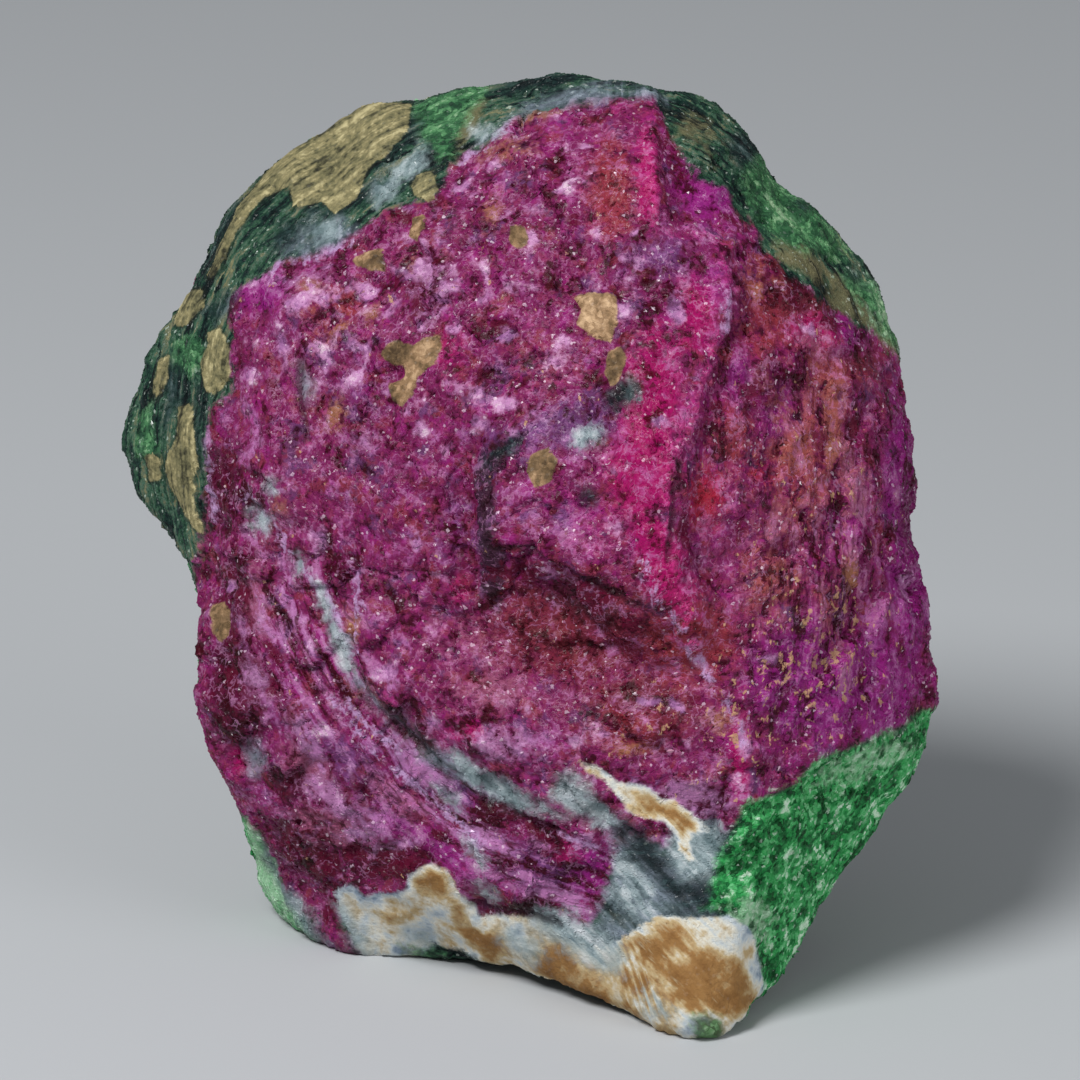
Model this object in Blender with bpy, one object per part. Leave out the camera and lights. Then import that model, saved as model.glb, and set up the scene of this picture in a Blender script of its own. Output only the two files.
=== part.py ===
"""A rough stone of ruby in zoisite, broken on every side, that stands on its own foot.

The stone is one solid. Its corners are given in the frame of its show face, in millimetres:
u runs to the right across the face, v runs up it, and w comes out of it. The face leans back
from upright, and place() turns these corners into the part's frame: metres, +Z up, the show
face towards -Y, and the table at z = 0.
"""

import math

import bmesh
import bpy
import numpy as np
from mathutils import Vector, noise
from mathutils.bvhtree import BVHTree

MM = 0.001

# Driving dimensions, in millimetres and degrees.
LEAN_DEG = 18.0  # how far the show face leans back from upright
ORIGIN_HEIGHT = 41.3  # of the show-face frame's origin above the table
HEART = (0.0, -1.0, -7.0)  # a point inside, from which every part of the skin can be seen
GIRTH = (39.0, 46.0, 26.0)  # about half the stone's width, height and thickness
SKIN_QUADS = 72  # quads along each edge of the cube that is wrapped on the stone
TRIANGLES = 9600  # what the solid keeps of the wrapped skin

# The corners, each (u, v, w). The rim is where the show side turns into the back.
TOP_RIM = [
    (-36.3, 28.0, -20), (-35.0, 31.6, -20), (-33.2, 34.7, -20), (-31.2, 37.7, -20),
    (-28.5, 40.0, -20), (-24.5, 43.2, -20), (-20.2, 46.0, -20), (-17.8, 46.6, -19),
    (-12.0, 47.0, -18), (-7.9, 48.3, -15), (-4.7, 49.0, -14), (-0.4, 49.2, -11),
    (2.9, 49.8, -9), (6.9, 49.2, -7), (11.4, 48.0, -5), (15.0, 47.3, -7),
    (17.4, 46.6, -8), (19.7, 45.3, -9), (21.6, 43.9, -9), (23.2, 41.6, -10),
    (24.6, 37.6, -10), (26.6, 37.2, -10), (28.5, 35.4, -11), (32.1, 31.2, -11),
    (35.4, 26.6, -11),
]
RIGHT_RIM = [
    (36.6, 22.8, -10), (37.6, 14.7, -8), (38.2, 7.5, -6), (38.6, -2.0, -5),
    (39.0, -9.0, -4), (39.2, -12.3, -4), (39.1, -15.2, -4), (38.9, -18.4, -5),
    (37.7, -22.3, -6), (35.6, -24.7, -7), (33.2, -27.3, -6), (31.5, -29.8, -6),
    (30.0, -32.2, -4), (28.5, -34.5, -3), (27.2, -37.0, -1), (25.8, -39.9, 1),
    (24.4, -42.8, 2),
]
LEFT_RIM = [
    (-29.4, -28.2, -19), (-29.3, -27.5, -14), (-31.0, -25.3, -11), (-32.3, -21.3, -9),
    (-34.3, -17.2, -9), (-35.5, -13.7, -9), (-34.5, -11.0, -9), (-33.9, -7.8, -9),
    (-33.5, -3.0, -10), (-34.4, -1.4, -11), (-37.1, 1.1, -17), (-39.8, 4.1, -19),
    (-42.5, 6.7, -21), (-43.6, 9.9, -22), (-43.7, 13.2, -22), (-43.0, 16.6, -22),
    (-41.4, 19.9, -22), (-39.8, 22.8, -21), (-37.5, 25.4, -20), (-33.0, -3.5, -20),
    (-32.2, -9.0, -22), (-32.0, -16.0, -22), (-29.6, -22.0, -24),
]
# The foot: the prow touches the table at the front, the heel on the left, the rest behind.
FOOT_RIM = [
    (22.1, -44.6, 7), (20.4, -46.4, 10), (18.2, -48.6, 12.5), (16.3, -49.2, 13.5),
    (14.0, -48.9, 13), (11.8, -48.2, 11), (9.5, -46.6, 9), (5.4, -44.4, 5),
    (2.2, -43.3, 2), (-1.9, -41.3, -3), (-4.9, -40.9, -5), (-7.9, -40.7, -8),
    (-11.2, -41.0, -10), (-14.4, -41.3, -10), (-17.1, -41.3, -10.5), (-19.2, -41.0, -11),
    (-20.9, -40.6, -12), (-23.2, -39.5, -14), (-24.8, -38.9, -16), (-26.6, -37.4, -19),
    (-28.2, -34.9, -21), (-29.2, -32.8, -21),
]
FOOT_BACK = [
    (4.0, -41.5, -10), (-16.0, -37.0, -30), (0.0, -37.5, -31), (14.0, -37.0, -30),
    (22.0, -37.0, -20), (16.0, -44.0, -2), (-2.0, -39.8, -8), (8.0, -42.4, 0),
]

# The show side. The bright ridge falls from the top to a ledge, and the boss stands below it.
SHOULDER = [
    (-31.0, 26.3, -8), (-28.0, 30.0, -7.5), (-24.0, 31.4, -5), (-19.5, 33.2, -4.5), (-15.5, 35.2, -4),
    (-10.0, 40.0, -4), (-5.0, 43.3, -4.5), (2.0, 45.6, -3), (8.0, 46.3, -1), (-30.8, 21.5, -8),
    (-33.5, 14.0, -9), (-33.6, 6.0, -9.5), (-33.0, 0.0, -9.5),
]
OUTER_BAND = [
    (-32.0, 31.0, -14), (-26.0, 36.5, -13), (-20.5, 38.5, -12), (-14.5, 42.0, -10), (-8.0, 45.5, -9),
    (-36.5, 18.0, -15.5), (-39.0, 12.5, -16.5), (-37.8, 7.0, -15.5), (-35.5, 23.0, -14),
]
LEFT_FACE = [
    (-24.0, 23.0, 0.5), (-14.0, 27.0, 3), (-4.0, 34.0, 4), (4.0, 38.5, 5.5), (-27.0, 12.0, 0.5),
    (-19.0, 17.0, 4), (-10.0, 19.0, 7.5), (-1.0, 24.0, 8.5), (6.0, 28.0, 9.5), (-25.0, 4.0, 1.5),
    (-14.0, 7.0, 7),
]
TOP_RIDGE = [(11.0, 44.5, 2), (11.2, 40.0, 6), (11.0, 35.0, 9), (11.5, 32.6, 9.6), (8.8, 34.0, 7.6)]
PURPLE_FACE = [(13.2, 41.0, 3.6), (14.0, 36.5, 4.8), (18.0, 36.0, 4.4), (14.5, 33.4, 7.4)]
LEDGE = [(18.3, 32.6, 8.4), (17.9, 29.0, 10), (17.4, 25.5, 11.6), (16.4, 19.0, 14)]
LEDGE_FOOT = [(19.4, 31.4, 5.4), (19.4, 25.0, 8.8), (18.2, 17.5, 12)]
CRIMSON_RIB = [
    (11.5, 20.5, 14.4), (9.5, 15.0, 15.2), (12.8, 11.5, 18.6), (12.6, 4.0, 19.8), (13.0, -2.5, 19.4),
    (14.6, -6.6, 18), (9.0, 8.0, 17), (8.6, 1.0, 17.6),
]
VALLEY = [(15.6, 9.0, 15), (15.4, 2.0, 15), (16.6, -4.0, 15.4), (17.4, -8.6, 15.6)]
BOSS = [
    (6.0, 14.2, 13.6), (-1.5, 12.4, 12.4), (-4.0, 7.5, 12.6), (-4.4, 2.0, 12.6), (2.0, 0.6, 15.6),
    (8.6, -4.2, 17.4), (3.0, 8.0, 15),
]
BOSS_FOOT = [
    (-5.0, 14.6, 9.4), (-6.8, 8.6, 8.6), (-7.0, 1.5, 8.4), (-4.0, -2.6, 8.8), (1.6, -4.6, 9.4),
    (8.0, -9.2, 10.8), (13.6, -11.8, 13),
]
LOWER_FACE = [
    (-8.0, -6.0, 8.6), (-8.0, -12.6, 9.4), (1.0, -13.0, 11), (1.5, -18.0, 12.4), (10.5, -16.4, 13.6),
    (12.0, -21.0, 14.4),
]
LOWER_RIB = [(15.2, -10.2, 15.4), (17.8, -15.0, 16), (20.3, -20.0, 15.8), (19.6, -26.0, 14.6)]
VEIN_LIP = [
    (-18.6, 0.0, 3.6), (-17.0, -7.0, 5), (-13.6, -12.6, 7), (-7.6, -17.2, 9.2), (0.6, -21.6, 11.4),
    (8.0, -25.4, 12.6),
]
VEIN_BED = [
    (-21.6, 1.0, 1), (-19.4, -8.0, 1.6), (-17.0, -12.8, 2.6), (-12.4, -17.0, 4.6), (-5.6, -21.8, 7),
    (2.4, -27.0, 9), (9.0, -30.6, 10),
]
LOWER_LEFT = [
    (-30.0, -3.0, -4), (-28.6, -9.0, -2), (-30.4, -15.0, -3.4), (-25.0, -16.0, 0.6), (-26.0, -23.0, -3),
    (-20.0, -20.6, 1.8), (-17.0, -26.0, 1.6), (-12.0, -24.0, 4), (-7.0, -30.0, 5), (-22.0, -31.0, -5.6),
    (-12.6, -31.4, 0.4), (0.0, -33.4, 7.2),
]
FOOT_LIP = [
    (-20.0, -34.6, -7.6), (-14.0, -33.6, -3.6), (-11.0, -32.0, 1), (-6.0, -35.0, 1.4), (-14.0, -38.0, -7.6),
    (-4.0, -38.6, -0.6), (5.6, -37.4, 7), (6.6, -41.6, 6.4), (14.6, -34.4, 12.6), (19.6, -37.6, 12),
    (21.4, -42.4, 9.6), (15.0, -43.4, 14),
]
RIGHT_FACE = [
    (27.0, 26.6, 2.6), (23.6, 20.0, 7.6), (31.6, 18.0, 1.6), (21.0, 11.6, 12), (27.6, 9.0, 8),
    (34.8, 7.0, 0.6), (21.0, 1.6, 14.2), (29.0, -2.0, 9.4), (36.6, -3.0, 0.6), (21.4, -8.0, 15),
    (29.6, -11.0, 9.6), (37.2, -12.0, 1), (24.4, -18.6, 12.8), (31.4, -18.8, 7), (37.6, -16.2, 0.4),
]
UNDERCUT = [
    (21.4, -26.4, 12.8), (26.2, -24.0, 9.2), (30.0, -25.4, 2.8), (35.4, -20.8, 0.6), (24.2, -31.0, 8),
    (27.2, -31.6, 2.4), (22.6, -36.0, 9), (25.0, -37.6, 4),
]
TOP_RIGHT = [
    (15.0, 43.4, -0.6), (19.0, 39.6, 0), (19.8, 34.0, 3), (24.0, 30.0, 2.4), (28.4, 27.8, -1.6),
    (21.0, 41.0, -4.6), (25.0, 33.6, -3), (31.0, 27.4, -5),
]

# The back: a steep upper break, a long flat one, and smaller ones at the sides and the foot.
BACK = [
    (0.0, 43.0, -23), (-12.0, 42.0, -27), (-22.0, 37.0, -30), (14.0, 39.0, -22), (-6.0, 32.0, -33),
    (-32.0, 26.0, -30), (-37.0, 14.0, -31), (-33.0, 4.0, -33), (24.0, 26.0, -25), (8.0, 24.0, -32),
    (-20.0, 20.0, -38), (-14.0, 6.0, -39), (4.0, 10.0, -36), (18.0, 10.0, -34), (31.0, 12.0, -23),
    (-27.0, -8.0, -34), (-12.0, -10.0, -36), (2.0, -4.0, -38), (14.0, -8.0, -38), (25.0, -6.0, -31),
    (34.0, -10.0, -20), (-24.0, -26.0, -31), (-10.0, -24.0, -36), (4.0, -26.0, -35), (17.0, -26.0, -33),
    (28.0, -24.0, -22), (-8.0, 18.0, -35), (24.0, -34.0, -14),
]

CORNERS = (
    TOP_RIM + RIGHT_RIM + LEFT_RIM + FOOT_RIM + FOOT_BACK + SHOULDER + OUTER_BAND + LEFT_FACE
    + TOP_RIDGE + PURPLE_FACE + LEDGE + LEDGE_FOOT + CRIMSON_RIB + VALLEY + BOSS + BOSS_FOOT
    + LOWER_FACE + LOWER_RIB + VEIN_LIP + VEIN_BED + LOWER_LEFT + FOOT_LIP + RIGHT_FACE
    + UNDERCUT + TOP_RIGHT + BACK
)

# Where shells of stone have flaked off the back: the middle, the radius and the depth of each.
FLAKES = [
    ((10.0, 16.0, -34), 15.0, 2.2), ((-20.0, 6.0, -37), 12.0, 2.0), ((-6.0, -20.0, -37), 14.0, 2.2),
    ((24.0, -14.0, -27), 11.0, 1.8), ((-26.0, 30.0, -26), 10.0, 1.5), ((6.0, 40.0, -22), 9.0, 1.4),
]

# How the breaks are worn, and the lumps, chips and ledges on them, in millimetres.
WEAR_PASSES = 3
WEAR_STRENGTH = 0.5
LUMP_SPACING = 12.0
LUMP_HEIGHT = 0.7
CHIPS = [(7.5, 0.9), (3.2, 0.4)]  # the spacing and the height of the large and the small ones
CHIP_RIM = 0.5  # how far from its edge a chip is flat, as a share of its spacing
LEDGE_SPACING = 4.4
LEDGE_HEIGHT = 0.55
LEDGE_SIDE = (0.45, 0.89, 0.1)  # the ledges step down this way, across the grain of the stone
LEDGE_PATCH = 19.0  # how large the patches are where the ledges show
TABLE_GAP = 0.05  # a point no higher than this is on the table


def clear_scene():
    for obj in list(bpy.data.objects):
        bpy.data.objects.remove(obj)


def place(corner):
    """A point of the show-face frame, in the part's frame before it is centred. Both in mm."""
    u, v, w = corner
    lean = math.radians(LEAN_DEG)
    return Vector((
        u,
        v * math.sin(lean) - w * math.cos(lean),
        v * math.cos(lean) + w * math.sin(lean) + ORIGIN_HEIGHT,
    ))


def direction_of(corner):
    """Where a corner lies as seen from the heart, on a sphere once the girth is divided out."""
    return Vector([(c - h) / g for c, h, g in zip(corner, HEART, GIRTH)]).normalized()


def broken_block():
    """The flat-sided block between the corners. As all of them can be seen from the heart, the
    hull of their directions says which three neighbours make each face."""
    block = bmesh.new()
    place_of = {}
    for corner in CORNERS:
        place_of[block.verts.new(direction_of(corner))] = place(corner)
    bmesh.ops.convex_hull(block, input=block.verts)
    for vert in block.verts:
        vert.co = place_of[vert]
    return block


def wrapped_skin(block):
    """An even grid of quads on the block: a divided cube, blown up to a sphere and then drawn
    in along its rays until it meets the block."""
    tree = BVHTree.FromBMesh(block)
    heart = place(HEART)
    skin = bmesh.new()
    bmesh.ops.create_cube(skin, size=2.0)
    bmesh.ops.subdivide_edges(skin, edges=skin.edges, cuts=SKIN_QUADS - 1, use_grid_fill=True)
    for vert in skin.verts:
        even = [math.tan(c * math.pi / 4) for c in vert.co]
        ray = place([h + e * g for h, e, g in zip(HEART, even, GIRTH)]) - heart
        vert.co = tree.ray_cast(heart, ray.normalized())[0]
    return skin


def flaked(point):
    """How deep the flaked-off shells bite at a point of the skin, in mm."""
    bite = 0.0
    for middle, radius, depth in FLAKES:
        near = (point - place(middle)).length / radius
        bite = max(bite, depth * (1.0 - near * near))
    return bite


def chipped(point):
    """The height of the lumps, chips and ledges at a point of the skin, in mm."""
    height = LUMP_HEIGHT * noise.fractal(point / LUMP_SPACING, 1.0, 2.0, 2)
    for spacing, rise in CHIPS:
        near, far = noise.voronoi(point / spacing)[0][:2]
        height += rise * (min(far - near, CHIP_RIM) - CHIP_RIM / 2)
    across = point.dot(place(LEDGE_SIDE) - place((0, 0, 0))) / LEDGE_SPACING
    step = (across + noise.noise(point / LUMP_SPACING)) % 1.0
    shows = min(max(2.5 * noise.noise(point / LEDGE_PATCH) + 0.2, 0.0), 1.0)
    return height + shows * LEDGE_HEIGHT * (min(step, 4.0 * (1.0 - step)) - 0.5)


def flatten_foot(skin):
    """Cuts the foot flat on the table, at z = 0."""
    for vert in skin.verts:
        if vert.co.z < TABLE_GAP:
            vert.co.z = 0.0


def weather(skin):
    """Wears the edges, flakes and chips the skin, and cuts its foot flat."""
    for _ in range(WEAR_PASSES):
        bmesh.ops.smooth_vert(
            skin, verts=skin.verts, factor=WEAR_STRENGTH, use_axis_x=True, use_axis_y=True, use_axis_z=True
        )
    skin.normal_update()
    rise = {vert: vert.normal * (chipped(vert.co) - flaked(vert.co)) for vert in skin.verts}
    for vert, offset in rise.items():
        vert.co += offset
    flatten_foot(skin)


def thin_out(skin):
    """Leaves the skin the triangles that the solid keeps: few where it is flat, and more along
    its edges."""
    fine = bpy.data.meshes.new("fine")
    skin.to_mesh(fine)
    draft = bpy.data.objects.new("draft", fine)
    bpy.context.scene.collection.objects.link(draft)
    thin = draft.modifiers.new("thin", "DECIMATE")
    thin.ratio = TRIANGLES / (2 * len(fine.polygons))
    thin.use_collapse_triangulate = True
    kept = bpy.data.meshes.new_from_object(draft.evaluated_get(bpy.context.evaluated_depsgraph_get()))
    bpy.data.objects.remove(draft)
    skin.clear()
    skin.from_mesh(kept)
    for mesh in (fine, kept):
        bpy.data.meshes.remove(mesh)


def stand_on_foot(skin):
    """Flattens what the thinning left of the foot, puts the origin under the middle of the
    stone's box, and turns millimetres to metres."""
    flatten_foot(skin)
    points = np.array([vert.co for vert in skin.verts])
    middle = (points.min(axis=0) + points.max(axis=0)) / 2
    for vert in skin.verts:
        vert.co = (vert.co - Vector((middle[0], middle[1], 0.0))) * MM


def stone_material():
    """Ruby red, and dull where it is broken, for the whole stone."""
    material = bpy.data.materials.new("ruby_in_zoisite")
    material.use_nodes = True
    shader = material.node_tree.nodes["Principled BSDF"]
    shader.inputs["Base Color"].default_value = (0.25, 0.03, 0.09, 1.0)
    shader.inputs["Roughness"].default_value = 0.55
    shader.inputs["Metallic"].default_value = 0.0
    return material


def build():
    clear_scene()
    block = broken_block()
    skin = wrapped_skin(block)
    weather(skin)
    thin_out(skin)
    stand_on_foot(skin)
    bmesh.ops.recalc_face_normals(skin, faces=skin.faces)
    mesh = bpy.data.meshes.new("stone")
    skin.to_mesh(mesh)
    block.free()
    skin.free()
    mesh.materials.append(stone_material())
    stone = bpy.data.objects.new("stone", mesh)
    group = bpy.data.collections.new("ruby_in_zoisite")
    bpy.context.scene.collection.children.link(group)
    group.objects.link(stone)


build()
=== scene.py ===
"""Ruby in zoisite: a rough stone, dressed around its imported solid.

The stone is described in the frame of its show face, in millimetres: u runs to the right across
the face, v up it and w out of it. Zones of the rock are drawn on the show side as outlines in
(u, v) as they look from SIGHT in front of it.
"""

import math

import bpy
import numpy as np
from mathutils import Matrix, Vector, noise
from mathutils.bvhtree import BVHTree


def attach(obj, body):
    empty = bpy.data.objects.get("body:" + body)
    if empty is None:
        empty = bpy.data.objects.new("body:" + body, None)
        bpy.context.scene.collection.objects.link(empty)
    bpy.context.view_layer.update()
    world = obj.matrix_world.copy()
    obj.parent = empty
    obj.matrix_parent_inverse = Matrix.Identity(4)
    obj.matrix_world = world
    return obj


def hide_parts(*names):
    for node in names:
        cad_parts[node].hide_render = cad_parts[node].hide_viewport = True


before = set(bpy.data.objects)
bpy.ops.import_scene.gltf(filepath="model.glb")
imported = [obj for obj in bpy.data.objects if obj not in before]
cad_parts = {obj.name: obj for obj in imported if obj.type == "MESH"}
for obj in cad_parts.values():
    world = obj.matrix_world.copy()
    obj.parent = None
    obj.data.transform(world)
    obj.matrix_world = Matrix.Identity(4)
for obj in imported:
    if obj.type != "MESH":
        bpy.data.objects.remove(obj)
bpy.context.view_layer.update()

MM = 0.001

# The show face's frame.
LEAN_DEG = 18.0  # how far the face leans back from upright
ORIGIN = (1.665, -7.415, 41.3)  # where u = v = w = 0 is in the part's frame
HEART = (0.0, -1.0, -7.0)  # a point inside, from which every part of the skin can be seen
GIRTH = (39.0, 46.0, 26.0)  # about half the stone's width, height and thickness
SIGHT = 900.0  # how far in front of the face the outlines are drawn from
SIGHT_V = 2.0  # and how high

# Zones of the rock on the show side, as outlines in (u, v).
ZONES = {
    "ruby": [
        [(-31.5, 26), (-27.8, 28.8), (-24, 30.2), (-19.5, 32.2), (-15.5, 34.5), (-13.5, 35.4),
         (-11.5, 36), (-10, 37.2), (-8.5, 40), (-6, 41.8), (-3, 43.8), (2, 45.2), (6.8, 46.3),
         (11.2, 45.9), (12.5, 43.4), (14.4, 40.8), (16.3, 38.3), (18.6, 37), (19.5, 35.4),
         (21.4, 33.5), (22.7, 31), (24.6, 28.4), (27.2, 26.8), (30, 24.9), (32.3, 23.3),
         (34.2, 21.7), (35.8, 20.1), (40, 18.5), (45, 6), (45, -13), (38.6, -15.1), (36.5, -16.7),
         (33.5, -17.9), (30.7, -18.8), (27.2, -20.4), (25.9, -22), (23, -23.5), (20.5, -24.6),
         (19.6, -26.2), (17.8, -27.6), (16, -28.6), (12.8, -29.2), (10, -28.2), (8.2, -28.6),
         (7.6, -30.2), (7.2, -31.8), (6.8, -33.6), (5.8, -35.8), (4, -37), (0.4, -36.6),
         (-2, -35.8), (-5.8, -36.6), (-7.8, -35.2), (-9, -32.8), (-10.9, -31.6), (-12.2, -32.2),
         (-13, -34), (-17.3, -34.4), (-18.8, -33.6), (-19.6, -34.5), (-19.6, -36.5), (-18.4, -38.5),
         (-16.8, -40.2), (-21, -41.5), (-22.2, -38.5), (-23, -36.5), (-25, -33.5), (-27.2, -29.5),
         (-29.5, -25.5), (-39, -20), (-39, -6), (-34.4, 0), (-33.4, 4), (-33.7, 8), (-33.6, 12),
         (-32.6, 15), (-30.8, 17.5), (-30.8, 22)],
    ],
    "crust": [
        [(3.2, 26.5), (5, 26.8), (7.6, 26.6), (7.7, 24.3), (7.2, 21.7), (5.5, 22.2), (3.6, 23.6),
         (4.2, 24.9)],
        [(-15.9, 20.6), (-14.1, 22), (-12.5, 21.4), (-11.6, 22), (-10, 22.5), (-9.8, 21.2),
         (-10.6, 19.5), (-12.2, 18.2), (-12.8, 16.6), (-13.8, 15.3), (-14.9, 16), (-15.2, 17.6),
         (-13.8, 18.2), (-13.5, 19.5), (-14.7, 19.5)],
        [(-18.6, 29.7), (-17.3, 30.6), (-15.7, 31.1), (-15.5, 29.2), (-16.7, 28.7), (-18.3, 29.4)],
        [(-2.9, 33.2), (-1.4, 33.3), (-1, 31.6), (-2, 30.9), (-3.1, 31.6)],
        [(-12.2, 38.3), (-10.6, 38.9), (-10.1, 37), (-10.9, 35.7), (-12.5, 36.4), (-12.8, 37.3)],
        [(-12.8, 34.1), (-11.6, 34.5), (-11.2, 32.9), (-12.2, 31.9), (-13.2, 32.5)],
        [(6.7, 20.8), (8.2, 21.4), (8.8, 20.2), (8, 18), (7.2, 17.2), (6.5, 18.5)],
        [(-32.4, -4.7), (-31.4, -4.2), (-30.8, -5.5), (-31.2, -7.5), (-32, -8.3), (-32.7, -7.2)],
        [(-33.2, 22.7), (-32, 23.3), (-30.9, 21.4), (-31, 18.2), (-32.6, 16.6), (-33.6, 16.9),
         (-33.9, 19.5), (-33.2, 21.4)],
        [(-36.4, 15.3), (-34.8, 15.6), (-34.5, 12.8), (-34.2, 9.6), (-34.8, 8), (-34.2, 4.8),
         (-33.6, 2.3), (-35.2, 4.2), (-37.1, 7.4), (-37.4, 9.6), (-36.4, 11.8), (-36.1, 13.7)],
        [(-38, 20.1), (-36.8, 20.4), (-37.4, 17.6), (-38.3, 15.6), (-38.7, 17.6)],
        [(-39.3, 10.5), (-38, 10.5), (-38, 8), (-39, 7.7)],
        [(-35.8, 26.5), (-33.9, 27.1), (-33.6, 25.2), (-35.2, 23.3), (-36.4, 23.3)],
        [(-33.5, 28.2), (-32, 31.3), (-30.1, 35.4), (-27.5, 38.6), (-24.3, 41.8), (-21.8, 42.9),
         (-19.5, 45.2), (-17.3, 45.7), (-12.8, 45.6), (-13.2, 42.8), (-15.4, 40.8), (-17.3, 38.3),
         (-18.3, 36.1), (-20.5, 34.5), (-21.8, 35.7), (-24.6, 35.1), (-25, 37), (-24, 38),
         (-26.9, 36.7), (-28.8, 35.1), (-30.1, 32.9), (-31.7, 30.3), (-32.6, 28.4)],
        [(-0.9, 10.5), (0.8, 11.2), (2, 9.8), (1.2, 7.8), (-0.4, 7.2), (-1.3, 8.8)],
    ],
    "cream": [
        [(-20.5, -32.9), (-18.9, -32.3), (-17.3, -33.5), (-13.5, -32.9), (-13.2, -31.6),
         (-10.9, -30.4), (-9, -31.3), (-8.1, -33.5), (-5.8, -35.8), (-3.6, -35.5), (-0.4, -35.8),
         (2, -37), (5, -38.8), (8, -38), (10, -36.5), (12, -35.5), (15, -35.8), (18.9, -35.5),
         (20.8, -36.7), (21.9, -39.2), (22.4, -42.4), (22.2, -44.3), (20.3, -46.2), (18.1, -48.6),
         (14.4, -49), (10, -48.5), (6, -46), (2, -44), (-2, -42), (-7.7, -39), (-10.9, -38.2),
         (-11.6, -39.6), (-15.4, -39.9), (-17.9, -39), (-19.5, -36.7)],
        [(4, -20.2), (5.5, -20.4), (6.8, -21.2), (7.8, -22.2), (9.2, -22.2), (10.6, -22.5),
         (11.6, -23.3), (12.4, -23.9), (13.4, -24), (14.2, -24.7), (15, -25.3), (15.8, -26.2),
         (16.8, -27.2), (15.3, -27.3), (15, -28), (15.1, -29), (15.7, -30.4), (14.6, -29.9),
         (13.7, -28.8), (13.3, -27.6), (12.9, -26.6), (12.2, -26), (10.8, -25.9), (9.5, -25.3),
         (8.5, -24.3), (7.5, -23.2), (6.5, -22), (5.2, -21.2)],
    ],
    "ochre": [
        [(-16.3, -34.2), (-14.1, -33.5), (-12.8, -31.9), (-10.6, -31), (-9.3, -31.6), (-9, -33.5),
         (-10.9, -35.5), (-13.5, -36.4), (-15.4, -36.4)],
        [(-9.4, -33.6), (-8.4, -34.2), (-7.4, -36.4), (-6, -37.6), (-3.6, -37.2), (-2.8, -38.4),
         (-3, -39.8), (-5, -39.4), (-7.6, -38.6), (-8.8, -37)],
        [(0.6, -39.6), (1.6, -38.4), (3, -38.6), (4.4, -40.2), (6.6, -41.8), (7.2, -43.4),
         (6.4, -44.4), (3.8, -43.4), (1.6, -42.2), (-0.2, -41.2)],
        [(12, -36.8), (13.6, -37), (14.5, -38.4), (18, -39), (20, -40.4), (21, -42), (20.6, -43.4),
         (21.6, -44), (19.4, -45.4), (17.6, -45.3), (15, -45.3), (12.6, -44.2), (10, -43),
         (8.2, -42.4), (8.2, -41.6), (9.8, -41.2), (9.8, -39.8), (8.4, -39.2), (9, -38.4),
         (11, -38.2), (12, -38)],
        [(8.4, -44.6), (10, -45.6), (11.6, -45.8), (13.4, -46), (14, -46.8), (12.6, -47.6),
         (11, -47), (9.6, -46.2)],
        [(7.9, -22.7), (9.2, -22.6), (10.4, -22.9), (11.4, -23.6), (12.4, -24.3), (13.4, -24.6),
         (14.2, -25.5), (15.2, -26.3), (16.2, -27), (14.8, -27), (14.6, -28), (15, -29.7),
         (14.2, -28.8), (13.8, -27.4), (13.4, -26.4), (12.2, -25.7), (10.8, -25.6), (9.8, -25),
         (8.8, -24)],
        [(32.6, -20.5), (33.5, -20.3), (33.8, -21.5), (33.2, -22.5), (32.5, -22)],
    ],
    "pale": [
        [(-22.6, -2.2), (-21.9, -2.4), (-21.1, -4.2), (-20, -6.4), (-19.1, -8.4), (-18.8, -11.2),
         (-19.7, -10.8), (-20.5, -8.4), (-21.5, -6), (-22.2, -4)],
        [(-28.4, 5.4), (-27.5, 5.2), (-26.9, 3.4), (-27.5, 2.2), (-28.5, 3.6)],
        [(-26.9, 8.2), (-26.2, 8), (-26, 6.6), (-26.6, 6.2), (-27, 7.2)],
        [(-24.4, 1), (-23.8, 0.6), (-23.4, -1.2), (-24, -1.4)],
        [(-8.4, -19.2), (-5.8, -20.8), (-1.4, -23.3), (1.6, -24.6), (3, -25.8), (0, -25.2),
         (-4, -23.7), (-7.5, -21.7)],
        [(1.4, -21.5), (2.8, -21.3), (4.6, -22.5), (5.8, -24), (7, -25.4), (7.9, -26.6),
         (6.2, -26.5), (4.2, -25.7), (2.4, -24.7), (1.1, -23.2)],
        [(7.3, -29.4), (8.8, -29.8), (10.4, -31.4), (11.2, -33.1), (9.6, -32.8), (7.8, -31.5)],
        [(6.9, -32.3), (8.8, -32.5), (10.8, -34.1), (12.6, -36), (11.6, -36.4), (9.6, -35.8),
         (8, -34.8), (6.4, -33.7)],
        [(-16.3, 38), (-13.5, 39.9), (-11.6, 41.8), (-10.6, 41.5), (-11.6, 39.2), (-13.8, 38),
         (-14.4, 36.1), (-16.3, 35.4), (-17, 36.7)],
        [(-23.7, 33.8), (-22.2, 34.4), (-20.5, 34.1), (-20.8, 32.6), (-22.8, 32.2)],
        [(-7, 43), (-4, 43.2), (-2.5, 44.5), (-4, 42), (-6.2, 41.2)],
        [(3.6, 13), (5, 13.6), (6.4, 13), (6, 11.8), (4.4, 11), (3.4, 11.6)],
        [(7.8, 17.2), (9, 17.8), (9.8, 17), (9, 16), (8, 16.2)],
        [(-6.5, -32.3), (-5.2, -32.6), (-4.3, -33.7), (-5.2, -34.1), (-6.3, -33.3)],
        [(-7.5, -28.2), (-6, -29), (-4.8, -30.2), (-5.8, -30.6), (-7, -29.6)],
        [(-10.6, -22.2), (-9, -23.2), (-7.2, -25.2), (-7.8, -25.6), (-9.4, -24)],
        [(35.7, -20.5), (36.5, -20.3), (36.7, -21.1), (36, -21.4)],
        [(-28.2, -27.8), (-26.8, -29.8), (-24, -33.5), (-22.2, -36), (-21, -38), (-22.2, -38.5),
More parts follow.
